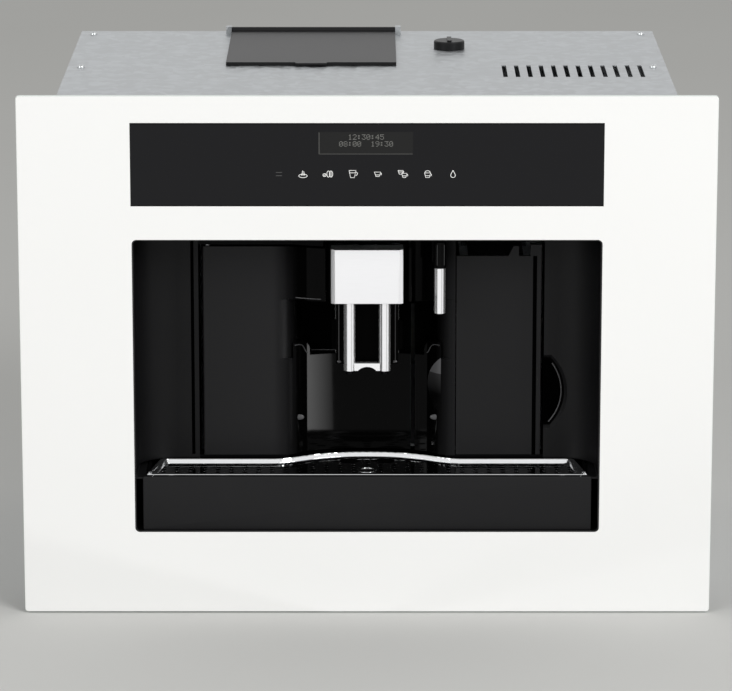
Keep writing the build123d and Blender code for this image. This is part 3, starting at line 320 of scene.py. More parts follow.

# %% [markdown]
# Two of the plastics change over the part. The door and the column next to it share one moulding:
# a polished cowl in the middle and flat satin wings. Painted shade darkens the wings' lips and the
# deep recess and dims what the cowl mirrors. The finger dish has painted light on its upper slope,
# and below its crease painted shade fades it into the dark.

# %% Plastics that change over the part
COWL_EDGE, MIRROR_END, RECESS_DEPTH = 52.5, 84, 84.5
WING_BLEND, LIP_BLEND = (60, 72), (69, 81)
DISH_DARK, DISH_LIT, DISH_CREASE = 179, 197, 197.8


def middle_plastic():
    """ABS round the spout: piano black cowl, satin wings, painted shade on lips, recess and cowl.
    """
    made, tree, shader, place = surface("polished_and_satin_abs_with_painted_shade", **{"Specular IOR Level": 0.12})
    from_middle = calc(tree, "ABSOLUTE", along(tree, place, "X"))

    def blend(low, high, start, end):
        return span(tree, from_middle, low, high, start * MM, end * MM)

    wing = blend(0, 1, *WING_BLEND)
    # Painted shade: the lips and the deep recess mirror almost nothing, the cowl's middle less than
    # the wings.
    outside = calc(tree, "GREATER_THAN", from_middle, COWL_EDGE * MM)
    lip_shade = calc(tree, "MULTIPLY", outside, blend(1, 0, *LIP_BLEND))
    dark = calc(tree, "MAXIMUM", lip_shade, beyond(tree, place, "Y", at(0, RECESS_DEPTH, 0).y))
    dimmed_cowl_reflection = two_tone(tree, blend(0, 1, COWL_EDGE, MIRROR_END), "#9f9f9f", "#ffffff")
    rough = two_values(tree, wing, span(tree, grain(tree, place, 14), 0.05, 0.08),
                       span(tree, grain(tree, place, 0.7), 0.36, 0.44))
    wire_up(tree, shader, two_tone(tree, wing, "#030303", "#19191a"), rough,
            relief(tree, grain(tree, place, 18), 0.004, 0.6),
            **{"Specular Tint": two_tone(tree, dark, dimmed_cowl_reflection, "#101010")})
    return made


def dish_with_painted_light():
    """The finger dish: painted light on its upper slope, painted shade below."""
    made, tree, shader, place = surface("dish_with_painted_light_and_shade", **{"Specular IOR Level": 0.05})
    painted_shade_ramp = span(tree, along(tree, place, "Z"), 0, 1, at(0, 0, DISH_DARK).z, at(0, 0, DISH_LIT).z)
    upper = beyond(tree, place, "Z", at(0, 0, DISH_CREASE).z)
    # Painted highlight above the crease, and painted shade fading down the slope below it.
    tone = two_tone(tree, upper, two_tone(tree, painted_shade_ramp, "#040404", "#303031"), "#5e5e60")
    wire_up(tree, shader, tone, span(tree, grain(tree, place, 2.0), 0.3, 0.4),
            relief(tree, grain(tree, place, 6.0), 0.004, 0.1))
    return made


middle_abs, dish_painted_finish = middle_plastic(), dish_with_painted_light()
print("changing plastics:", middle_abs.name, dish_painted_finish.name)

# %% [markdown]
# ## Metals
# Three kinds show: the finely brushed, satin-plated spout, the mirror-bright grille, and the
# zinc-coated sheet of the housing with its frosty crystals. A satin plate scatters part of the
# light like paint does, so it is a little less than fully metallic, and stays silver even where
# it has only the black bay to mirror.


# %% Metals
SILVER, STEEL, ZINC = ("#ececed", "#f4f4f5"), ("#9c9d9f", "#acadae"), ("#a3a6a8", "#b4b7b9")
SATIN_PLATED = 0.86
EVEN = (1, 1, 1)
brushed_cover = metal("satin_plated_cover", "#eeeeef", "#f6f6f7", (0.28, 0.36), 0.5, (0.02, 1, 1),
                      0.002, 0.5, SATIN_PLATED)
satin_tube = metal("satin_plated_tube", *SILVER, (0.14, 0.2), 0.5, (1, 1, 0.02), 0.001, 0.3,
                   SATIN_PLATED)
bright_chrome = metal("bright_chrome_plate", "#dcddde", "#e6e7e8", (0.05, 0.10), 6.0, EVEN, 0.002,
                      0.4)
grille_chrome = metal("mirror_chrome_grille", "#c9cacb", "#d2d3d4", (0.05, 0.09), 6.0, EVEN, 0.001,
                      0.02)
turned_steel = metal("turned_steel", *STEEL, (0.22, 0.34), 0.4, (1, 1, 0.05))
rail_zinc = metal("zinc_plated_rail_steel", *ZINC, (0.24, 0.36), 0.6, (1, 0.02, 1), 0.003, 0.4)
cast_aluminium = metal("die_cast_aluminium", "#a0a1a3", "#b2b3b4", (0.42, 0.58), 1.4, EVEN, 0.03,
                       0.6)
brass_tone = metal("turned_brass", "#b08d4a", "#c29e58", (0.22, 0.34), 0.5, (1, 0.05, 1))


def galvanised(name, crystal_mm):
    """Zinc-coated sheet: flat crystals, each a slightly different grey and gloss."""
    made, tree, shader, place = surface(name, Metallic=1.0)
    wobble = add(tree, "ShaderNodeTexNoise", {"Scale": 120.0, "Vector": place}).outputs[1]
    bent = add(tree, "ShaderNodeMix", {"data_type": "RGBA", "blend_type": "LINEAR_LIGHT",
                                       0: 0.004, 6: place, 7: wobble}).outputs[2]
    crystals = add(tree, "ShaderNodeTexVoronoi", {"Scale": 1 / (crystal_mm * MM), "Vector": bent})
    tone = add(tree, "ShaderNodeSeparateColor", {0: crystals.outputs["Color"]}).outputs[0]
    wire_up(tree, shader, two_tone(tree, tone, "#9a9d9f", "#b3b6b8"),
            span(tree, tone, 0.36, 0.54, 0, 1), relief(tree, tone, 0.004, 0.4))
    return made


zinc_sheet = galvanised("hot_dip_galvanised_sheet", 7.0)
print("metals:", brushed_cover.name, satin_tube.name, bright_chrome.name, zinc_sheet.name)

# %% [markdown]
# ## The inner parts
# Behind the door sit parts that nobody polished: grey nylon, white acetal gears, silicone hose
# and a green circuit board. They show when the door is open or the tank is out, so they get plain
# engineering finishes with a visible grain.


# %% Inner finishes
ACETAL = ("#d6d4cd", "#dedcd6")
grey_nylon = moulded("glass_filled_grey_nylon", "#4b4c4e", "#58595b", (0.5, 0.65), 1.0, 0.02, 0.5)
white_acetal = moulded("natural_white_acetal", *ACETAL, (0.32, 0.42), 1.5, 0.006, 0.3)
silicone = moulded("milky_silicone_hose", "#c9cac6", "#d6d6d2", (0.35, 0.45), 2.0, 0.01, 0.2,
                   **{"Transmission Weight": 0.25})
red_plastic = moulded("red_polypropylene", "#9c2a1c", "#a83224", (0.34, 0.44), 1.0, 0.006, 0.3)
carrier_plastic = moulded("fine_grain_grey_carrier", "#2e2f31", "#363739", (0.5, 0.62), 0.9,
                          0.015, 0.4)
black_rubber = moulded("black_epdm_rubber", "#101011", "#161617", (0.62, 0.75), 0.8, 0.01, 0.3)
print("inner finishes:", grey_nylon.name, white_acetal.name, silicone.name)

# %% [markdown]
# Some nodes are made of two materials in reality, such as a chrome tube in a black sleeve. They
# meet at a plane, so one material with a border along an axis dresses such a node. The shelf's
# black front is not a second material but painted shade, in the gap below the door.

# %% Finishes with a border
SLEEVE_FOOT, NOZZLE_TOP, SHADE_FRONT_DEPTH, GEAR_TOP, BOARD_SHEET = 298.9, 208.2, 80, 144.2, 9.6
DULL = {"Specular IOR Level": 0.06}


def split_finish(name, axis, limit, before, after, metallic, rough, line_mm=0.8, **values):
    """Two materials that meet at a limit along an axis, each with its tones and roughness."""
    made, tree, shader, place = surface(name, **values)
    side = beyond(tree, place, axis, limit)
    lines = grain(tree, place, line_mm)
    near, far = two_tone(tree, lines, *before), two_tone(tree, lines, *after)
    roughness = two_values(tree, side, *(span(tree, lines, *limits) for limits in rough))
    wire_up(tree, shader, two_tone(tree, side, near, far), roughness,
            relief(tree, lines, 0.003, 0.4), Metallic=span(tree, side, *metallic, 0, 1))
    return made


hot_spout_finish = split_finish(
    "silver_tube_black_sleeve", "Z", at(0, 0, SLEEVE_FOOT).z, SILVER, ("#030303", "#050505"),
    (0.85, 0), ((0.14, 0.2), (0.2, 0.3)), **DULL)
tube_finish = split_finish(
    "silver_tubes_black_nozzles", "Z", at(0, 0, NOZZLE_TOP).z, TRIM_TONES, SILVER,
    (0, 0.85), ((0.1, 0.16), (0.14, 0.2)), **DULL)
# Painted shade: the shelf is black in front of a depth.
shelf_with_painted_shade = split_finish(
    "zinc_shelf_with_painted_shade_front", "Y", at(0, SHADE_FRONT_DEPTH, 0).y, TRIM_TONES, ZINC,
    (0, 1), ((0.5, 0.6), (0.4, 0.5)), 3.0, **DULL)
board_finish = split_finish(
    "green_circuit_board", "X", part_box("power_board")[0].x + BOARD_SHEET * MM,
    ("#1c4a2c", "#235636"), ("#1b1b1d", "#26262a"), (0, 0), ((0.3, 0.4), (0.45, 0.6)), 3.0)
screw_finish = split_finish(
    "acetal_gear_steel_screw", "Z", at(0, 0, GEAR_TOP).z, ACETAL, STEEL,
    (0, 1), ((0.32, 0.42), (0.22, 0.34)))
print("finishes with a border:", hot_spout_finish.name, tube_finish.name, shelf_with_painted_shade.name)

# %% [markdown]
# ## Giving every node its finish
# A CAD node keeps its mesh; only the material in its slot changes. One table says which node
# wears what, and the cell stops if a node was forgotten.

# %% Finish of every node
worn = {
    white_glass: ["front_glass"],
    window_glass: ["control_window"],
    textured_abs: ["tray_bay"],
    liner_abs: ["bay_liner_left", "bay_liner_right"],
    tank_abs: ["tank_front"],
    satin_abs: ["hopper_lid", "grind_knob", "power_switch"],
    carriage_abs: ["spout_carriage"],
    tray_abs: ["tray_front"],
    deep_abs: ["bay_ceiling", "drip_tray", "grounds_bin", "hot_water_socket", "door_back",
               "mains_inlet", "tray_float", "tank_lid"],
    middle_abs: ["service_door", "bay_column"],
    smoked: ["water_tank", "bean_hopper", "hopper_funnel"],
    brushed_cover: ["spout_cover"],
    satin_tube: ["spout_guide_rods"],
    tube_finish: ["spout_tubes"],
    grille_chrome: ["cup_grille"],
    turned_steel: ["hinge_pins", "lower_burr", "gear_motor", "grinder_motor"],
    rail_zinc: ["rail_outer_left", "rail_outer_right", "rails_middle", "rails_inner"],
    zinc_sheet: ["base_pan", "side_panel_left", "side_panel_right", "back_panel", "top_cover"],
    shelf_with_painted_shade: ["inner_shelf"],
    cast_aluminium: ["thermoblock"],
    brass_tone: ["pump"],
    grey_nylon: ["tank_dock", "brew_frame", "brew_chute", "grinder_body"],
    white_acetal: ["upper_piston", "brew_chamber", "motor_pinion"],
    silicone: ["hose_supply", "hose_pressure", "hose_brew"],
    red_plastic: ["release_button"],
    carrier_plastic: ["front_frame"],
    hot_spout_finish: ["hot_water_spout"],
    board_finish: ["power_board", "display_board"],
    screw_finish: ["lead_screw"],
}
for finish, names in worn.items():
    for name in names:
        for slot in nodes[name].material_slots:
            slot.material = finish
dressed = {name for names in worn.values() for name in names}
assert dressed == set(nodes), sorted(dressed ^ set(nodes))
print("finishes:", len(worn), "for", len(nodes), "nodes")

# %% [markdown]
# ## From a mesh in the making to a finished piece
# Small pieces are modelled with bmesh operators. This function welds doubles, turns the faces
# outwards, shades smooth but keeps creases crisp, and hands the piece to the body it moves with.


# %% Finishing a piece
CREASE = math.radians(32)
SAME_PLACE = 1e-6


def piece(name, edit, finish, body):
    """Turns a bmesh into a finished object that rides on a CAD body."""
    bmesh.ops.remove_doubles(edit, verts=edit.verts, dist=SAME_PLACE)
    bmesh.ops.recalc_face_normals(edit, faces=edit.faces)
    for face in edit.faces:
        face.smooth = True
    for edge in edit.edges:
        edge.smooth = edge.is_manifold and edge.calc_face_angle(math.pi) < CREASE
    mesh = bpy.data.meshes.new(name)
    edit.to_mesh(mesh)
    edit.free()
    mesh.materials.append(finish)
    made = bpy.data.objects.new(name, mesh)
    bpy.context.scene.collection.objects.link(made)
    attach(made, body)
    print(name, "faces", len(mesh.polygons))
    return made


print("a crease is sharper than", round(math.degrees(CREASE)), "degrees")

# %% [markdown]
# ## The spout cover
# The cover is a small brushed box of folded metal. Its edges are round and catch a bright line
# against the black bay. The CAD node has the right form, so a welded copy of it gets its long
# edges rounded and stands in for the node.

# %% Spout cover
FLAT_ANGLE, FOLD_ANGLE = math.radians(0.5), math.radians(20)
FOLD_LENGTH, FOLD_RADIUS = 8, 0.45


def copy_of(node):
    """A CAD node's triangles as one welded mesh."""
    edit = bmesh.new()
    edit.from_mesh(nodes[node].data)
    bmesh.ops.remove_doubles(edit, verts=edit.verts, dist=SAME_PLACE)
    return edit


def soften(edit, edges, width_mm, segments=3):
    """Rounds edges by a width in millimetres."""
    return bmesh.ops.bevel(edit, geom=edges, offset=width_mm * MM, offset_type="OFFSET",
                           affect="EDGES", segments=segments, profile=0.5, material=-1,
                           clamp_overlap=True)


cover = copy_of("spout_cover")
bmesh.ops.dissolve_limit(cover, angle_limit=FLAT_ANGLE, verts=cover.verts, edges=cover.edges)
folds = [edge for edge in cover.edges if edge.is_manifold
         and edge.calc_length() > FOLD_LENGTH * MM and edge.calc_face_angle() > FOLD_ANGLE]
soften(cover, folds, FOLD_RADIUS)
spout_shell = piece("spout_shell", cover, brushed_cover, "coffee_spout")
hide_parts("spout_cover")

# %% [markdown]
# ## The tray front
# The front of the drip tray is a plain satin strip, but its rounded upper edge draws one fine
# bright line across the whole bay. It is a plate whose corners are rounded first and whose front
# rim second, as a toolmaker would cut it.


# %% Boxes
def box_between(edit, low, high):
    """Adds a box between two corners and returns its vertices."""
    corners = bmesh.ops.create_cube(edit, size=1.0)["verts"]
    bmesh.ops.scale(edit, vec=high - low, verts=corners)
    bmesh.ops.translate(edit, vec=(high + low) / 2, verts=corners)
    return corners


def edges_of(verts):
    """The edges between some vertices."""
    return list({edge for vert in verts for edge in vert.link_edges})


def rounded_block(across, depth, height, corner_mm, segments):
    """A block with its four corners rounded, as seen from the front."""
    edit = bmesh.new()
    corners = box_between(edit, *(at(*corner) for corner in zip(across, depth, height)))
    along_depth = [edge for edge in edges_of(corners)
                   if abs((edge.verts[0].co - edge.verts[1].co).y) > SAME_PLACE]
    soften(edit, along_depth, corner_mm, segments)
    return edit


def measured(node):
    """A node's box as across, depth and height limits in millimetres."""
    low, high = ((Vector(corner) - at(0, 0, 0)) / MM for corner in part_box(node))
    return (low.x, high.x), (low.y, high.y), (low.z, high.z)


tray_span = measured("tray_front")
print("tray front is", round(tray_span[0][1] - tray_span[0][0], 1), "mm wide")

# %% Tray front
TRAY_CORNER, TRAY_RIM = 1.5, 0.7
facia = rounded_block(*tray_span, TRAY_CORNER, 4)
front = min(facia.faces, key=lambda face: face.calc_center_median().y)
soften(facia, list(front.edges), TRAY_RIM)
tray_facia = piece("tray_facia", facia, tray_abs, "drip_tray")
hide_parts("tray_front")

# %% [markdown]
# ## The cup grille
# The real grille is pressed from one chromed sheet: a flat floor with rows of holes, sunk a few
# millimetres below its rim. The CAD node has every hole but is a flat plate, so the top of a
# welded copy is kept, cut twice across just behind its front edge, lowered behind the cuts, and
# given the thickness of the sheet. Its walls lean inwards, except round the hole of the float.


# %% Plate of the grille
RIM_TOP, SHEET_TOP = 122.9, 122.1
FRONT_CUTS = (10.8, 11.6)


def cut(edit, place, normal):
    """Cuts a mesh across at a plane and keeps both sides."""
    bmesh.ops.bisect_plane(edit, geom=edit.verts[:] + edit.edges[:] + edit.faces[:],
                           plane_co=place, plane_no=normal)


grille = copy_of("cup_grille")
sheet_low = at(0, 0, SHEET_TOP - 0.1).z
hidden = [face for face in grille.faces if min(vert.co.z for vert in face.verts) < sheet_low]
bmesh.ops.delete(grille, geom=hidden, context="FACES")
for depth in FRONT_CUTS:
    cut(grille, at(0, depth, 0), (0, 1, 0))
print("grille plate:", len(grille.faces), "faces")


# %% Sunk floor of the grille
FLOOR_SINK, WALL_LEAN, LEAN_REACH, SHEET_MM = 2.6, 2.0, 9, 0.55
FLOAT_AXIS, FLOAT_REACH, COLLAR_REACH, COLLAR_DROP = (0, 21.5), 14, 10, 1.0


def move(edit, way, verts=None):
    """Moves some vertices of a mesh, or all of them."""
    bmesh.ops.translate(edit, vec=way, verts=edit.verts if verts is None else verts)


def from_float(vert):
    """How far a vertex stands from the float's axis, seen from above."""
    return (vert.co - at(*FLOAT_AXIS, 0)).xy.length


rim_low, behind_cuts = at(0, 0, SHEET_TOP + 0.3).z, at(0, sum(FRONT_CUTS) / 2, 0).y
floor_verts = [vert for vert in grille.verts
               if vert.co.z < rim_low and vert.co.y > behind_cuts]
move(grille, (0, 0, -FLOOR_SINK * MM), floor_verts)
grille.normal_update()
print("sunk vertices:", len(floor_verts))

# %% Leaning walls of the grille
sunk, wall_feet = set(floor_verts), []
for vert in floor_verts:
    walls = [face.normal for face in vert.link_faces if abs(face.normal.z) < 0.5
             and any(corner not in sunk for corner in face.verts)]
    if walls and from_float(vert) > FLOAT_REACH * MM:
        inward = (sum(walls, Vector()) * Vector((1, 1, 0))).normalized()
        wall_feet.append((vert.co.copy(), inward * WALL_LEAN * MM))
for vert in floor_verts:
    gap, nearest = min(((vert.co - foot).length, index)
                       for index, (foot, _) in enumerate(wall_feet))
    vert.co += wall_feet[nearest][1] * max(0.0, 1 - gap / (LEAN_REACH * MM))
collar = [vert for vert in grille.verts
          if vert.co.z > rim_low and from_float(vert) < COLLAR_REACH * MM]
move(grille, (0, 0, -COLLAR_DROP * MM), collar)
bmesh.ops.solidify(grille, geom=grille.faces[:], thickness=SHEET_MM * MM)
heights = [(vert.co.z - at(0, 0, 0).z) / MM for vert in grille.verts]
print("grille from", round(min(heights), 1), "to", round(max(heights), 1), "mm")
pressed_grille = piece("pressed_grille", grille, grille_chrome, "cup_grille")
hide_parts("cup_grille")

# %% [markdown]
# ## The rim of the cup grille
# The edge of the grille is rolled into a bead, which follows the sides, the corners and the
# tongue that reaches back to the door. It is a curve with a round section, pressed a little flat,
# because a curve keeps such a bead even. Half of it is written down and the rest is mirrored.


# %% Path of the bead
bead_path = [
    ((-188.2, 7.6), None, (-185.5, 21.6)),
    ((-180.0, 49.6), (-182.7, 35.6), (-179.3, 53.2)),
    ((-172.4, 56.3), (-176.2, 56.3), (-150, 56.3)),
    ((-84, 56.3), (-110, 56.3), (-74, 56.3)),
    ((-53, 68.2), (-60.5, 63.9), (-44.5, 72.9)),
    ((-25, 77.9), (-33.5, 75.9), (-17, 79.6)),
    ((0, 80.1), (-8, 80.1), (8, 80.1)),
]
bead_path += [((-middle[0], middle[1]), right and (-right[0], right[1]),
               left and (-left[0], left[1])) for middle, left, right in bead_path[-2::-1]]


def round_line(name, radius_mm, section_steps, line_steps=12):
    """An empty curve that draws with a round pen."""
    line = bpy.data.curves.new(name, "CURVE")
    line.dimensions = "3D"
    line.bevel_depth = radius_mm * MM
    line.bevel_resolution = section_steps
    line.use_fill_caps = True
    line.resolution_u = line_steps
    return line


def bead_line(name, radius_mm):
    """A curve along the bead's path, whose handles are given across and in depth."""
    line = round_line(name, radius_mm, 3, 16)
    spline = line.splines.new("BEZIER")
    spline.bezier_points.add(len(bead_path) - 1)
    for bend, (middle, left, right) in zip(spline.bezier_points, bead_path):
        bend.co = at(*middle, 0)
        bend.handle_left_type = bend.handle_right_type = "FREE"
        bend.handle_left = at(*(left or middle), 0)
        bend.handle_right = at(*(right or middle), 0)
    return line


def curve_as_bmesh(line):
    """The curve's surface as a bmesh."""
    holder = bpy.data.objects.new(line.name, line)
    mesh = bpy.data.meshes.new_from_object(holder)
    edit = bmesh.new()
    edit.from_mesh(mesh)
    bpy.data.objects.remove(holder)
    return edit


print("bends in the bead's path:", len(bead_path))

# %% Grille bead
BEAD_RADIUS, BEAD_FLATNESS, BEAD_DROP = 1.75, 0.42, 0.85
bead = curve_as_bmesh(bead_line("grille_bead_line", BEAD_RADIUS))
move(bead, (0, 0, -at(0, 0, 0).z))
bmesh.ops.scale(bead, vec=(1, 1, BEAD_FLATNESS), verts=bead.verts)
move(bead, (0, 0, at(0, 0, RIM_TOP - BEAD_DROP).z))
piece("grille_bead", bead, bright_chrome, "cup_grille")

# %% [markdown]
# The wall below the bead is a ribbon along the same path, because the plate's own triangles are
# too uneven there for a mirror finish. Its upper edge is moved in to the bead's inner side, and
# its lower edge is moved in further by the lean of the wall.

# %% Grille wall
WALL_INSET, WALL_HALF_HEIGHT, WALL_MIDDLE, RIBBON_MM = 2.0, 1.5, 121.0, 0.2
wall_line = bead_line("grille_wall_line", 0)
wall_line.dimensions = "2D"
wall_line.fill_mode = "NONE"
wall_line.extrude = WALL_HALF_HEIGHT * MM
wall = curve_as_bmesh(wall_line)
bmesh.ops.remove_doubles(wall, verts=wall.verts, dist=SAME_PLACE)
bmesh.ops.recalc_face_normals(wall, faces=wall.faces)
wall.normal_update()
middle_face = min(wall.faces, key=lambda face: abs(face.calc_center_median().x))
inward_sign = -1 if middle_face.normal.y > 0 else 1
inward = {vert: (vert.normal * Vector((1, 1, 0))).normalized() * inward_sign
          for vert in wall.verts}
for vert, way in inward.items():
    vert.co += way * MM * (WALL_INSET if vert.co.z > 0 else WALL_INSET + WALL_LEAN)
move(wall, (0, 0, at(0, 0, WALL_MIDDLE).z))
bmesh.ops.solidify(wall, geom=wall.faces[:], thickness=RIBBON_MM * MM)
piece("grille_wall", wall, bright_chrome, "cup_grille")

# %% [markdown]
# ## The ring round the float
# The hole of the float has a raised chromed ring: a small circle of wire spun round the float's
# axis.

# %% Float ring
RING_RADIUS, RING_WIRE, RING_FLATNESS = 7.6, 1.6, 0.7
ring = bmesh.new()
ring_middle = at(*FLOAT_AXIS, RIM_TOP - 1.2)
stand = (Matrix.Translation(ring_middle + Vector((RING_RADIUS * MM, 0, 0)))
         @ Matrix.Rotation(math.radians(90), 4, "X") @ Matrix.Diagonal((1, RING_FLATNESS, 1, 1)))
section = bmesh.ops.create_circle(ring, segments=12, radius=RING_WIRE / 2 * MM,
                                  matrix=stand)["verts"]
bmesh.ops.spin(ring, geom=section + edges_of(section), cent=ring_middle, axis=(0, 0, 1),
               angle=math.tau, steps=40, use_merge=True)
piece("float_ring", ring, bright_chrome, "cup_grille")

# %% [markdown]
# ## The seal round the opening
# A thin black rubber seal draws a fine dark outline round the whole bay. It sits where the gap
# round the opening lies in shadow, so its black is painted shade. It is a block with rounded
# corners, whose front and back are inset and taken out, and whose two openings are then joined by
# walls.

# %% Opening seal
SEAL_ACROSS, SEAL_DEPTH, SEAL_HEIGHT = (-200.9, 200.9), (0.5, 5.1), (71.0, 331.3)
SEAL_CORNER, SEAL_WIDTH = 4.6, 1.3
seal = rounded_block(SEAL_ACROSS, SEAL_DEPTH, SEAL_HEIGHT, SEAL_CORNER, 6)
caps = sorted(seal.faces, key=lambda face: len(face.verts))[-2:]
bmesh.ops.inset_individual(seal, faces=caps, thickness=SEAL_WIDTH * MM)
openings = [edge for cap in caps for edge in cap.edges]
bmesh.ops.delete(seal, geom=caps, context="FACES_ONLY")
bmesh.ops.bridge_loops(seal, edges=openings)
piece("opening_seal_painted_shade", seal, black_rubber, "machine")

# %% [markdown]
# ## The filter behind the louvres
# Behind the louvres of the back panel hangs a thin dark dust mat, so that no daylight falls
# through the machine. It is folded like a fan: every second line of a flat grid is pushed back,
# and the sheet then gets its thickness.

# %% Dust filter
FILTER_WIDTH, FILTER_HEIGHT, FILTER_MIDDLE = 176, 96, (0, 395.2, 232)
FILTER_FOLDS, FOLD_DEPTH, FELT_MM = 60, 0.7, 0.3
mat = bmesh.new()
bmesh.ops.create_grid(mat, x_segments=FILTER_FOLDS, y_segments=1, size=0.5,
                      matrix=Matrix.Rotation(math.radians(90), 4, "X"))
bmesh.ops.scale(mat, vec=(FILTER_WIDTH * MM, 1, FILTER_HEIGHT * MM), verts=mat.verts)
move(mat, at(*FILTER_MIDDLE))
lines = sorted({round(vert.co.x, 6) for vert in mat.verts})
folded = [vert for vert in mat.verts if lines.index(round(vert.co.x, 6)) % 2]
move(mat, (0, FOLD_DEPTH * MM, 0), folded)
bmesh.ops.solidify(mat, geom=mat.faces[:], thickness=FELT_MM * MM)
piece("dust_filter", mat, black_rubber, "machine")

# %% [markdown]
# ## The display
# Behind the black glass lies a small character display: two lines of square dots on a slightly
# lighter pane, whose edge has a pale painted highlight. They show plain clock numbers. Each dot is
# its own tiny raised square, and the characters come from the usual five by seven dot patterns.

# %% Display pane
PRINT_DEPTH, PANE_THICKNESS = 0.09, 0.05
PANE_ACROSS, PANE_HEIGHT = (-40.7, 38.9), (405.4, 424.3)
PRINT = {"Specular IOR Level": 0.12}
PRINT_RELIEF = (0.002, 0.05)
pane_finish = moulded("dark_display_pane", "#202020", "#232323", (0.18, 0.24), 12, *PRINT_RELIEF,
                      **PRINT)
pane_edge_highlight = moulded("pane_edge_painted_highlight", "#5a5a58", "#646462", (0.3, 0.4), 2.0, *PRINT_RELIEF,
                    **PRINT)
dot_finish = moulded("grey_display_dots", "#7e7e7b", "#868683", (0.3, 0.4), 1.0, *PRINT_RELIEF,
                     **PRINT)
pane = bmesh.new()
box_between(pane, at(PANE_ACROSS[0], PRINT_DEPTH, PANE_HEIGHT[0]),
            at(PANE_ACROSS[1], PRINT_DEPTH + PANE_THICKNESS, PANE_HEIGHT[1]))
piece("display_pane", pane, pane_finish, "machine")

# %% [markdown]
# The pane's left and lower edges carry a painted highlight in a pale grey. It is drawn as an L: an
# upright strip, whose lowest bit is cut off and pulled out to the right.


# %% Lit edge of the pane
LIT_DEPTHS, LIT_HALF, LIT_TOP_GAP, LIT_FOOT, LIT_LENGTH = (0.05, 0.13), 0.3, 0.4, 0.1, 79


def pull(edit, faces, way):
    """Pulls faces out along a way, which adds the walls between."""
    geom = bmesh.ops.extrude_face_region(edit, geom=faces)["geom"]
    move(edit, way, [part for part in geom if isinstance(part, bmesh.types.BMVert)])


lit_edge = bmesh.new()
box_between(lit_edge, at(PANE_ACROSS[0] - LIT_HALF, LIT_DEPTHS[0], PANE_HEIGHT[0] - LIT_HALF),
            at(PANE_ACROSS[0] + LIT_HALF, LIT_DEPTHS[1], PANE_HEIGHT[1] - LIT_TOP_GAP))
foot_top = at(0, 0, PANE_HEIGHT[0] + LIT_FOOT)
cut(lit_edge, foot_top, (0, 0, 1))
foot = [face for face in lit_edge.faces
        if face.normal.x > 0.9 and face.calc_center_median().z < foot_top.z]
pull(lit_edge, foot, (LIT_LENGTH * MM, 0, 0))
bmesh.ops.delete(lit_edge, geom=foot, context="FACES_ONLY")
piece("display_lit_edge", lit_edge, pane_edge_highlight, "machine")

# %% Display dots
DOT_ROWS = {
    "0": (14, 17, 19, 21, 25, 17, 14), "1": (4, 12, 4, 4, 4, 4, 14), "2": (14, 17, 1, 2, 4, 8, 31),
    "3": (31, 2, 4, 2, 1, 17, 14), "4": (2, 6, 10, 18, 31, 2, 2), "5": (31, 16, 30, 1, 1, 17, 14),
    "8": (14, 17, 17, 14, 17, 17, 14), "9": (14, 17, 17, 15, 1, 2, 12),
    ":": (0, 12, 12, 0, 12, 12, 0), " ": (0, 0, 0, 0, 0, 0, 0),
}
DOT_PITCH, DOT_SIZE, LETTER_PITCH = 0.66, 0.52, 3.86
DISPLAY_MIDDLE = -0.9


def dotted_line(edit, text, middle_height):
    """Writes a line of characters as small raised squares."""
    left = DISPLAY_MIDDLE - (len(text) - 1) / 2 * LETTER_PITCH
    dots_on = [(left + index * LETTER_PITCH + (column - 2) * DOT_PITCH,
                middle_height + (3 - row) * DOT_PITCH)
               for index, letter in enumerate(text) for row, bits in enumerate(DOT_ROWS[letter])
               for column in range(5) if bits >> (4 - column) & 1]
    half = DOT_SIZE / 2
    for x, z in dots_on:
        box_between(edit, at(x - half, 0.05, z - half), at(x + half, PRINT_DEPTH + 0.01, z + half))


dots = bmesh.new()
dotted_line(dots, "12:30:45", 419.9)
dotted_line(dots, "08:00  19:30", 414.0)
piece("display_dots", dots, dot_finish, "machine")

# %% [markdown]
# ## The touch symbols
# Eight small generic symbols are printed on the glass: seven in white, such as cups, beans, steam
# and a drop, and a dim one on the left. Each is a few strokes of a round pen, pressed nearly
# flat, which leaves a thin raised print.


# %% Pen strokes
PEN_MM, PRINT_FLATNESS, SYMBOL_HEIGHT = 0.55, 0.12, 388.0


def arc(middle, radius, start, end, steps=12):
    """Points along an ellipse from one angle to another, in degrees."""
    wide, high = radius if isinstance(radius, tuple) else (radius, radius)
    turns = [math.radians(start + (end - start) * step / steps) for step in range(steps + 1)]
    return [(middle[0] + wide * math.cos(turn), middle[1] + high * math.sin(turn))
            for turn in turns]


def stroked(line, kind, strokes):
    """Lays strokes, each a list of places, on an empty curve and returns its surface."""
    for stroke in strokes:
        spline = line.splines.new(kind)
        spline.points.add(len(stroke) - 1)
        for point, place in zip(spline.points, stroke):
            point.co = (*place, 1)
        spline.order_u = min(4, len(stroke))
        spline.use_endpoint_u = True
    return curve_as_bmesh(line)


def printed(name, strokes, across, finish):
    """Prints strokes, each a list of points round the symbol's middle, on the window."""
    edit = stroked(round_line(name + "_pen", PEN_MM / 2, 1), "POLY",
                   [[(x * MM, 0, z * MM) for x, z in stroke] for stroke in strokes])
    bmesh.ops.scale(edit, vec=(1, PRINT_FLATNESS, 1), verts=edit.verts)
    move(edit, at(across, 0.1, SYMBOL_HEIGHT))
    piece(name, edit, finish, "machine")


# The white print glows a little: a painted glow.
symbol_white = moulded("white_print_with_painted_glow", "#e2e2e0", "#eaeae8", (0.4, 0.5), 1.0, *PRINT_RELIEF,
                       **{"Emission Color": "#f4f4f2", "Emission Strength": 0.25})
symbol_dim = moulded("dim_ceramic_print", "#4c4c4b", "#545453", (0.4, 0.5), 1.0, *PRINT_RELIEF)
print("pen", PEN_MM, "mm wide")


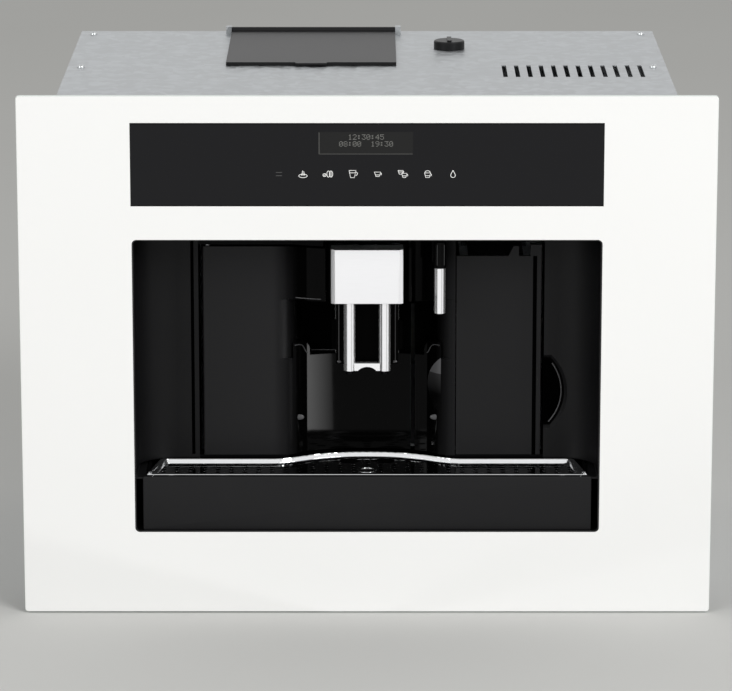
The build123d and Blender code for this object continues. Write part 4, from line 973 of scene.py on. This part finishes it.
# %% Touch symbols
def cup(middle, wide, narrow, high, level):
    """A cup from the side: a tapering body, a handle on the right and the drink's level."""
    x, z = middle
    body = [(x - wide, z + high), (x + wide, z + high), (x + narrow, z - high),
            (x - narrow, z - high), (x - wide, z + high)]
    handle = arc((x + (wide + narrow) / 2 + 0.2, z + 0.3), (high * 0.55, high * 0.5), 80, -90, 8)
    reach = narrow + (wide - narrow) * (level + 1) / 2
    return [body, handle, [(x - reach, z + level * high), (x + reach, z + level * high)]]


drop_side = ([(0, 3.3), (-0.9, 1.6), (-1.7, 0.1)] + arc((0, -1.1), 1.95, 150, 390, 14)
             + [(0.9, 1.6), (0, 3.3)])
symbols = {
    "rinse": ([[(-2.6, 1.4), (2.6, 1.4)], [(-2.6, -1.4), (2.6, -1.4)]], -74.8),
    "steam": ([arc((0, -1.6), (3.6, 1.5), 0, 360, 20), [(-1.3, -1.3), (-0.7, 1.0), (-0.2, 3.0)],
               [(1.3, -1.3), (0.9, 0.8), (0.5, 2.4)], [(0, -1.4), (0, 0.6)]], -54.4),
    "beans": ([arc((-2.9, -0.9), (1.35, 1.3), 0, 360, 14), [(-3.6, -1.5), (-2.2, -0.3)],
               arc((0.3, 0), (1.25, 2.7), 0, 360, 18), arc((2.6, 0), (1.4, 2.7), 0, 360, 18),
               [(2.6, -2.2), (2.6, 2.2)]], -33.2),
    "tall_cup": (cup((-0.4, 0), 2.9, 1.6, 3.1, 0.35), -12.0),
    "small_cup": (cup((-0.4, -0.2), 2.7, 1.4, 1.9, -0.3), 9.3),
    "two_cups": (cup((-2.1, 1.5), 2.1, 1.1, 1.6, 0.2) + cup((1.1, -1.2), 2.2, 1.2, 1.8, -0.2),
                 30.5),
    "milk_cup": (cup((-0.4, -1.0), 2.5, 1.6, 2.0, -0.2)
                 + [arc((-0.4, 1.2), (2.3, 1.7), 0, 180, 10)], 51.7),
    "drop": ([drop_side], 72.9),
}
for name, (strokes, across) in symbols.items():
    printed("symbol_" + name, strokes, across, symbol_dim if name == "rinse" else symbol_white)

# %% [markdown]
# ## Small gloss trims of the bay
# Thin light lines run through the black bay: down the edges of the spout's carrier, along the ribs
# of the hot-water handle and round the finger recess. Each is a narrow bead, a bent bar through a
# handful of points. The carrier's and the handle's are polished and mirror the bright room in one
# fine line; the one round the recess is grey, a painted highlight.


# %% Beads
BEAD_AT, BEAD_HEIGHTS, BEAD_MM = (24.2, 41.7), (266, 240, 214.5), 0.9
HANDLE_AT, RIB_HEIGHTS, RIB_MM = (62.7, 35), (320, 310, 302), 0.4
RECESS_MIDDLE, RECESS_RADIUS, RECESS_RIM = (128.7, 182.4), 41.2, 64.2


def trim(name, lines, body, radius_mm, finish):
    """Round beads, each through some points given across, in depth and in height."""
    edit = stroked(round_line(name + "_line", radius_mm, 2, 8), "NURBS",
                   [[at(*place) for place in points] for points in lines])
    piece(name, edit, finish, body)


carrier_lines = [[(side * BEAD_AT[0], BEAD_AT[1], height) for height in BEAD_HEIGHTS]
                 for side in (-1, 1)]
trim("carrier_beads", carrier_lines, "coffee_spout", BEAD_MM, gloss_trim)
rib_lines = [[(HANDLE_AT[0] + off, HANDLE_AT[1] - out, height) for height in RIB_HEIGHTS]
             for off, out in ((-2.4, 5.1), (3.7, 4.2))]
trim("handle_ribs", rib_lines, "hot_water_spout", RIB_MM, gloss_trim)
recess_arc = [(across, RECESS_RIM, height)
              for across, height in arc(RECESS_MIDDLE, RECESS_RADIUS, -43, 37, 10)]
# The recess bead is grey: a painted highlight.
trim("recess_bead", [recess_arc], "machine", 0.6, painted_highlight_grey)

# %% [markdown]
# ## Lines that lie on the moulded parts
# Other lines follow surfaces that the CAD already has: the ledge, the ears at its ends and the
# bottom of the hood. They are grey beads, painted highlights. A ray sent straight back from the
# front finds the surface of a node, so a line or a patch can be laid on it without knowing its
# formula.


# %% Rays onto a node
def tree_of(name):
    """A search tree of one CAD node, in the shared frame."""
    source = copy_of(name)
    made = BVHTree.FromBMesh(source)
    source.free()
    return made


def depth_on(surface_tree, across, height, nearest=-5.0):
    """Depth of the first surface behind the front, or none."""
    hit = surface_tree.ray_cast(at(across, nearest, height), Vector((0, 1, 0)))[0]
    return None if hit is None else (hit.y - at(0, 0, 0).y) / MM


def laid_line(surface_tree, points, proud_mm=0.1):
    """Points given across and in height, laid on the surface."""
    laid = [(across, depth_on(surface_tree, across, height), height) for across, height in points]
    return [(across, depth - proud_mm, height) for across, depth, height in laid
            if depth is not None]


door_surface, column_surface = tree_of("service_door"), tree_of("bay_column")
LEDGE_HEIGHT, HOOD_HEIGHT, LEDGE_MM = 212.4, 267.0, 0.45
print("ledge of the door at depth", round(depth_on(door_surface, -40, LEDGE_HEIGHT), 1), "mm")

# %% Ledge lines
ear = [(-63.2, 223.4), (-60.5, 223.4), (-58, 223.0), (-56, 221.2), (-54.6, 218), (-53.4, 214.6),
       (-51.5, 213.2), (-49.5, 213.0)]
ledge = [(across, LEDGE_HEIGHT) for across in range(-49, -22, 3)]
hood = [(across, HOOD_HEIGHT) for across in range(-62, -32, 3)]
door_lines = [laid_line(door_surface, line) for line in (ear, ledge, hood)]
trim("ledge_lines", door_lines, "service_door", LEDGE_MM, painted_highlight_grey)
right_ear = laid_line(column_surface, [(-across, height) for across, height in ear])
trim("column_lines", [right_ear], "machine", LEDGE_MM, painted_highlight_grey)

# %% [markdown]
# ## The finger dish beside the tank
# Left of the tank, a round dish in the slanted side of the column gives the fingers a hold. Its
# outline is a circle cut by the tank. Rows of points inside that outline are laid on the column.

# %% Finger dish
DISH_MIDDLE, DISH_RADIUS, DISH_END, DISH_HALF = (87, 187), 34, 64.4, 25
DISH_ROWS, DISH_PARTS = 26, 8
dish = bmesh.new()
rows = []
for step in range(DISH_ROWS + 1):
    height = DISH_MIDDLE[1] - DISH_HALF + step * 2 * DISH_HALF / DISH_ROWS
    start = DISH_MIDDLE[0] - math.sqrt(DISH_RADIUS ** 2 - (height - DISH_MIDDLE[1]) ** 2)
    line = [(start + (DISH_END - start) * part / DISH_PARTS, height)
            for part in range(DISH_PARTS + 1)]
    rows.append([dish.verts.new(at(*point)) for point in laid_line(column_surface, line, 0.25)])
for lower, upper in zip(rows, rows[1:]):
    for left in range(min(len(lower), len(upper)) - 1):
        dish.faces.new((lower[left], lower[left + 1], upper[left + 1], upper[left]))
print("dish rows", len(rows), "faces", len(dish.faces))
bmesh.ops.solidify(dish, geom=dish.faces[:], thickness=-0.2 * MM)
# The dish's light and shade are painted in its finish.
piece("finger_dish", dish, dish_painted_finish, "machine")

# %% [markdown]
# ## Small rounded feet
# The beads of the carrier end in small feet, and a stop sits low in the slot on each side of the
# cowl; the stops are in the grey of the painted highlights. Each starts as a sphere, scaled to its
# three widths.


# %% Rounded feet
FOOT_AT, FOOT_SIZE = (24.0, 42, 214), (5.6, 3.4, 3.2)
STOP_AT, STOP_SIZE = (59.5, 158), (9, 2.4, 5)


def rounded_foot(edit, middle, widths_mm):
    """A sphere scaled to its widths across, in depth and in height."""
    verts = bmesh.ops.create_uvsphere(edit, u_segments=24, v_segments=16, radius=0.5 * MM)["verts"]
    bmesh.ops.scale(edit, vec=widths_mm, verts=verts)
    bmesh.ops.translate(edit, vec=middle, verts=verts)


feet = bmesh.new()
for side in (-1, 1):
    rounded_foot(feet, at(side * FOOT_AT[0], *FOOT_AT[1:]), FOOT_SIZE)
piece("carrier_feet", feet, gloss_trim, "coffee_spout")
for name, side, body, under in (("door_stop", -1, "service_door", door_surface),
                                ("column_stop", 1, "machine", column_surface)):
    stop = bmesh.new()
    across, height = side * STOP_AT[0], STOP_AT[1]
    rounded_foot(stop, at(across, depth_on(under, across, height) - 0.4, height), STOP_SIZE)
    piece(name, stop, painted_highlight_grey, body)

# %% [markdown]
# ## Ledges beside the cup grille
# Left and right of the grille, a narrow moulded ledge closes the gap to the liner. Its profile, a
# flat top with a small raised edge outside, is drawn across and in height and pulled back.

# %% Side ledges
LEDGE_PROFILE = [(191.2, 118.0), (199.9, 118.0), (199.9, 121.4), (199.2, 121.4), (198.4, 119.6),
                 (191.8, 119.6), (191.2, 119.0)]
LEDGE_FRONT, LEDGE_LENGTH = 7, 56
ledges = bmesh.new()
for side in (-1, 1):
    corners = [ledges.verts.new(at(side * across, LEDGE_FRONT, height))
               for across, height in LEDGE_PROFILE[::-side]]
    pull(ledges, [ledges.faces.new(corners)], (0, LEDGE_LENGTH * MM, 0))
piece("side_ledges", ledges, satin_abs, "machine")

# %% [markdown]
# ## Screws of the housing
# The housing is held by pan-head screws. Each head is a cone that is rounded to a squat dome, with
# a cross pressed into it: every sixth stretch of the inner ring stays wide and the rest is drawn
# in, which leaves the four arms of the cross.

# %% Screw heads
HEAD_RADIUS, HEAD_RISE, HEAD_ROUNDING, RECESS_DROP = 3.4, 1.9, 0.6, 1.1


def screw_head(edit, middle, outward):
    """A pan-head screw with a cross recess, standing on a surface."""
    up = Vector(outward)
    turn = Vector((0, 0, 1)).rotation_difference(up).to_matrix().to_4x4()
    stand = Matrix.Translation(middle) @ turn @ Matrix.Translation((0, 0, HEAD_RISE / 2 * MM))
    head = bmesh.ops.create_cone(edit, cap_ends=True, segments=24, radius1=HEAD_RADIUS * MM,
                                 radius2=HEAD_RADIUS * 0.9 * MM, depth=HEAD_RISE * MM,
                                 matrix=stand)["verts"]
    top_point = middle + up * HEAD_RISE * MM
    top = [vert for vert in head if abs((vert.co - top_point).dot(up)) < SAME_PLACE]
    rim = [edge for edge in edges_of(top) if edge.verts[0] in top and edge.verts[1] in top]
    rounded = soften(edit, rim, HEAD_ROUNDING)
    crown = max(rounded["faces"] + [face for vert in rounded["verts"] for face in vert.link_faces],
                key=lambda face: len(face.verts))
    bmesh.ops.inset_individual(edit, faces=[crown], thickness=HEAD_RADIUS * 0.28 * MM)
    for index, vert in enumerate(list(crown.verts)):
        if index % 6 not in (0, 1):
            vert.co = top_point + (vert.co - top_point) * 0.36
    pressed = bmesh.ops.extrude_discrete_faces(edit, faces=[crown])["faces"][0]
    move(edit, up * -RECESS_DROP * MM, list(pressed.verts))


print("screw heads are", 2 * HEAD_RADIUS, "mm wide")

# %% Housing screws
HOUSING_SIDE, HOUSING_BACK, HOUSING_TOP = measured("side_panel_right")[0][1], 397.7, 445.2
screw_zinc = metal("zinc_plated_screw", "#a9acad", "#bcbfc0", (0.2, 0.32), 0.6, EVEN, 0.003, 0.2)
spots = [(at(sign * HOUSING_SIDE, depth, height), (sign, 0, 0))
         for sign in (-1, 1) for depth in (60, 210, 360) for height in (90, 428)]
spots += [(at(across, HOUSING_BACK, height), (0, 1, 0))
          for across in (-250, -90, 90, 250) for height in (24, 430)]
spots += [(at(across, depth, HOUSING_TOP), (0, 0, 1))
          for across in (-255, 255) for depth in (45, 200, 380)]
housing_screws = bmesh.new()
for spot, outward in spots:
    screw_head(housing_screws, spot, outward)
piece("housing_screws", housing_screws, screw_zinc, "machine")

# %% [markdown]
# ## The mains inlet
# At the back sits a standard three-pin inlet. Its pins are nickel-plated blades with broken
# edges, so each is a box whose edges are rounded.

# %% Inlet pins
INLET_MIDDLE, PIN_HALF, PIN_DEPTHS, PIN_EDGE = (-201, 46), (1.15, 2.15), (380, 395.9), 0.4
nickel = metal("nickel_plated_pin", "#b9b6ad", "#c8c5bc", (0.16, 0.26), 0.5, (1, 0.05, 1), 0.002,
               0.2)
pins = bmesh.new()
for across, height in ((-7, -3), (0, 3), (7, -3)):
    low, high = (at(INLET_MIDDLE[0] + across + sign * PIN_HALF[0], depth,
                    INLET_MIDDLE[1] + height + sign * PIN_HALF[1])
                 for sign, depth in zip((-1, 1), PIN_DEPTHS))
    soften(pins, edges_of(box_between(pins, low, high)), PIN_EDGE, 2)
piece("inlet_pins", pins, nickel, "machine")

# %% [markdown]
# ## The studio
# The machine stands on a plain pale floor. The world gives an even light from all round, a large
# lamp from the upper right models the forms, and a weaker one fills from the left. Glossy things
# see a white floor with a dark stretch on the left and a grey one on the right, as from the flags
# of a studio. One card only shows in the polished cowl, as the bright band on its left side.


# %% What glossy things see
GLOSS_WHITE = 1.0


def for_gloss(tree):
    """1 for rays that a glossy or a clear surface sends out, and 0 for the others."""
    rays = add(tree, "ShaderNodeLightPath", {}).outputs
    return calc(tree, "MAXIMUM", rays["Is Glossy Ray"], rays["Is Transmission Ray"])


def flag(tree, bearing, dark, *edges):
    """What glossy things see of a stretch between soft edges, in degrees round the machine."""
    start, full, fading, end = (math.radians(edge) for edge in edges)
    return calc(tree, "MAXIMUM", span(tree, bearing, GLOSS_WHITE, dark, start, full),
                span(tree, bearing, dark, GLOSS_WHITE, fading, end))


print("glossy things see a white room with dark flags")

# %% Floor
FLOOR_HALF, FLAG_CENTRE = 30.0, -0.17
LEFT_FLAG, RIGHT_FLAG = (0.04, -106, -94, -53, -46), (0.62, 22, 34, 50, 56)
floor_edit = bmesh.new()
bmesh.ops.create_grid(floor_edit, x_segments=1, y_segments=1, size=FLOOR_HALF)
floor_mesh = bpy.data.meshes.new("studio_floor")
floor_edit.to_mesh(floor_mesh)
floor_edit.free()
floor = bpy.data.objects.new("studio_floor", floor_mesh)
bpy.context.scene.collection.objects.link(floor)
paint, tree, shader, place = surface("matt_pale_floor", Roughness=0.9,
                                     **{"Specular IOR Level": 0.0})
tree.links.new(two_tone(tree, grain(tree, place, 400), "#cfcfcd", "#d2d2d0"),
               shader.inputs["Base Color"])
nearer = calc(tree, "SUBTRACT", FLAG_CENTRE, along(tree, place, "Y"))
bearing = calc(tree, "ARCTAN2", along(tree, place, "X"), nearer)
lit = calc(tree, "MINIMUM", flag(tree, bearing, *LEFT_FLAG), flag(tree, bearing, *RIGHT_FLAG))
glow = add(tree, "ShaderNodeEmission", {"Color": "#ffffff", "Strength": lit}).outputs[0]
mixed = add(tree, "ShaderNodeMixShader", {0: for_gloss(tree), 1: shader.outputs[0], 2: glow})
floor_out = next(node for node in tree.nodes if node.type == "OUTPUT_MATERIAL")
tree.links.new(mixed.outputs[0], floor_out.inputs["Surface"])
floor_mesh.materials.append(paint)
print("floor ready")


# %% World
world = bpy.data.worlds.new("even_studio_light")
world.use_nodes = True
sky_tree = world.node_tree
sky_tree.nodes.clear()
sky, seen, bright = (
    add(sky_tree, "ShaderNodeBackground", {"Color": colour, "Strength": strength}).outputs[0]
    for colour, strength in (("#e8e8e6", 0.62), ("#d0d0ce", 1.0), ("#ffffff", GLOSS_WHITE)))
by_camera = add(sky_tree, "ShaderNodeLightPath", {}).outputs["Is Camera Ray"]
backdrop = add(sky_tree, "ShaderNodeMixShader", {0: by_camera, 1: sky, 2: seen}).outputs[0]
both = add(sky_tree, "ShaderNodeMixShader", {0: for_gloss(sky_tree), 1: backdrop, 2: bright})
add(sky_tree, "ShaderNodeOutputWorld", {"Surface": both.outputs[0]})
bpy.context.scene.world = world
print("world ready")


# %% Lamps
def lamp(name, place, aim, size, watts, spread=180, only_for=None):
    """A soft lamp that points at a place; one that is only for a node shows in its gloss alone."""
    light = bpy.data.lights.new(name, "AREA")
    light.shape = "RECTANGLE"
    light.size, light.size_y = size
    light.energy = watts
    light.spread = math.radians(spread)
    holder = bpy.data.objects.new(name, light)
    holder.location = place
    holder.rotation_euler = (Vector(aim) - Vector(place)).to_track_quat("-Z", "Y").to_euler()
    bpy.context.scene.collection.objects.link(holder)
    if only_for:
        holder.visible_diffuse = holder.visible_camera = False
        lit_by_it = bpy.data.collections.new(name + "_lights")
        lit_by_it.objects.link(nodes[only_for])
        holder.light_linking.receiver_collection = lit_by_it


PANEL_MIDDLE = (0.0, -0.15, 0.22)
lamp("key_softbox", (1.9, -2.6, 2.1), PANEL_MIDDLE, (1.6, 1.6), 60)
lamp("fill_softbox", (-2.2, -2.2, 1.2), PANEL_MIDDLE, (1.6, 1.6), 24)
lamp("cowl_card", (0.227, -0.544, 0.06), (-0.423, 0.178, 0.295), (0.18, 0.24), 0.22, 46,
     "service_door")
bpy.context.scene.view_settings.view_transform = "Standard"
print("lamps ready")
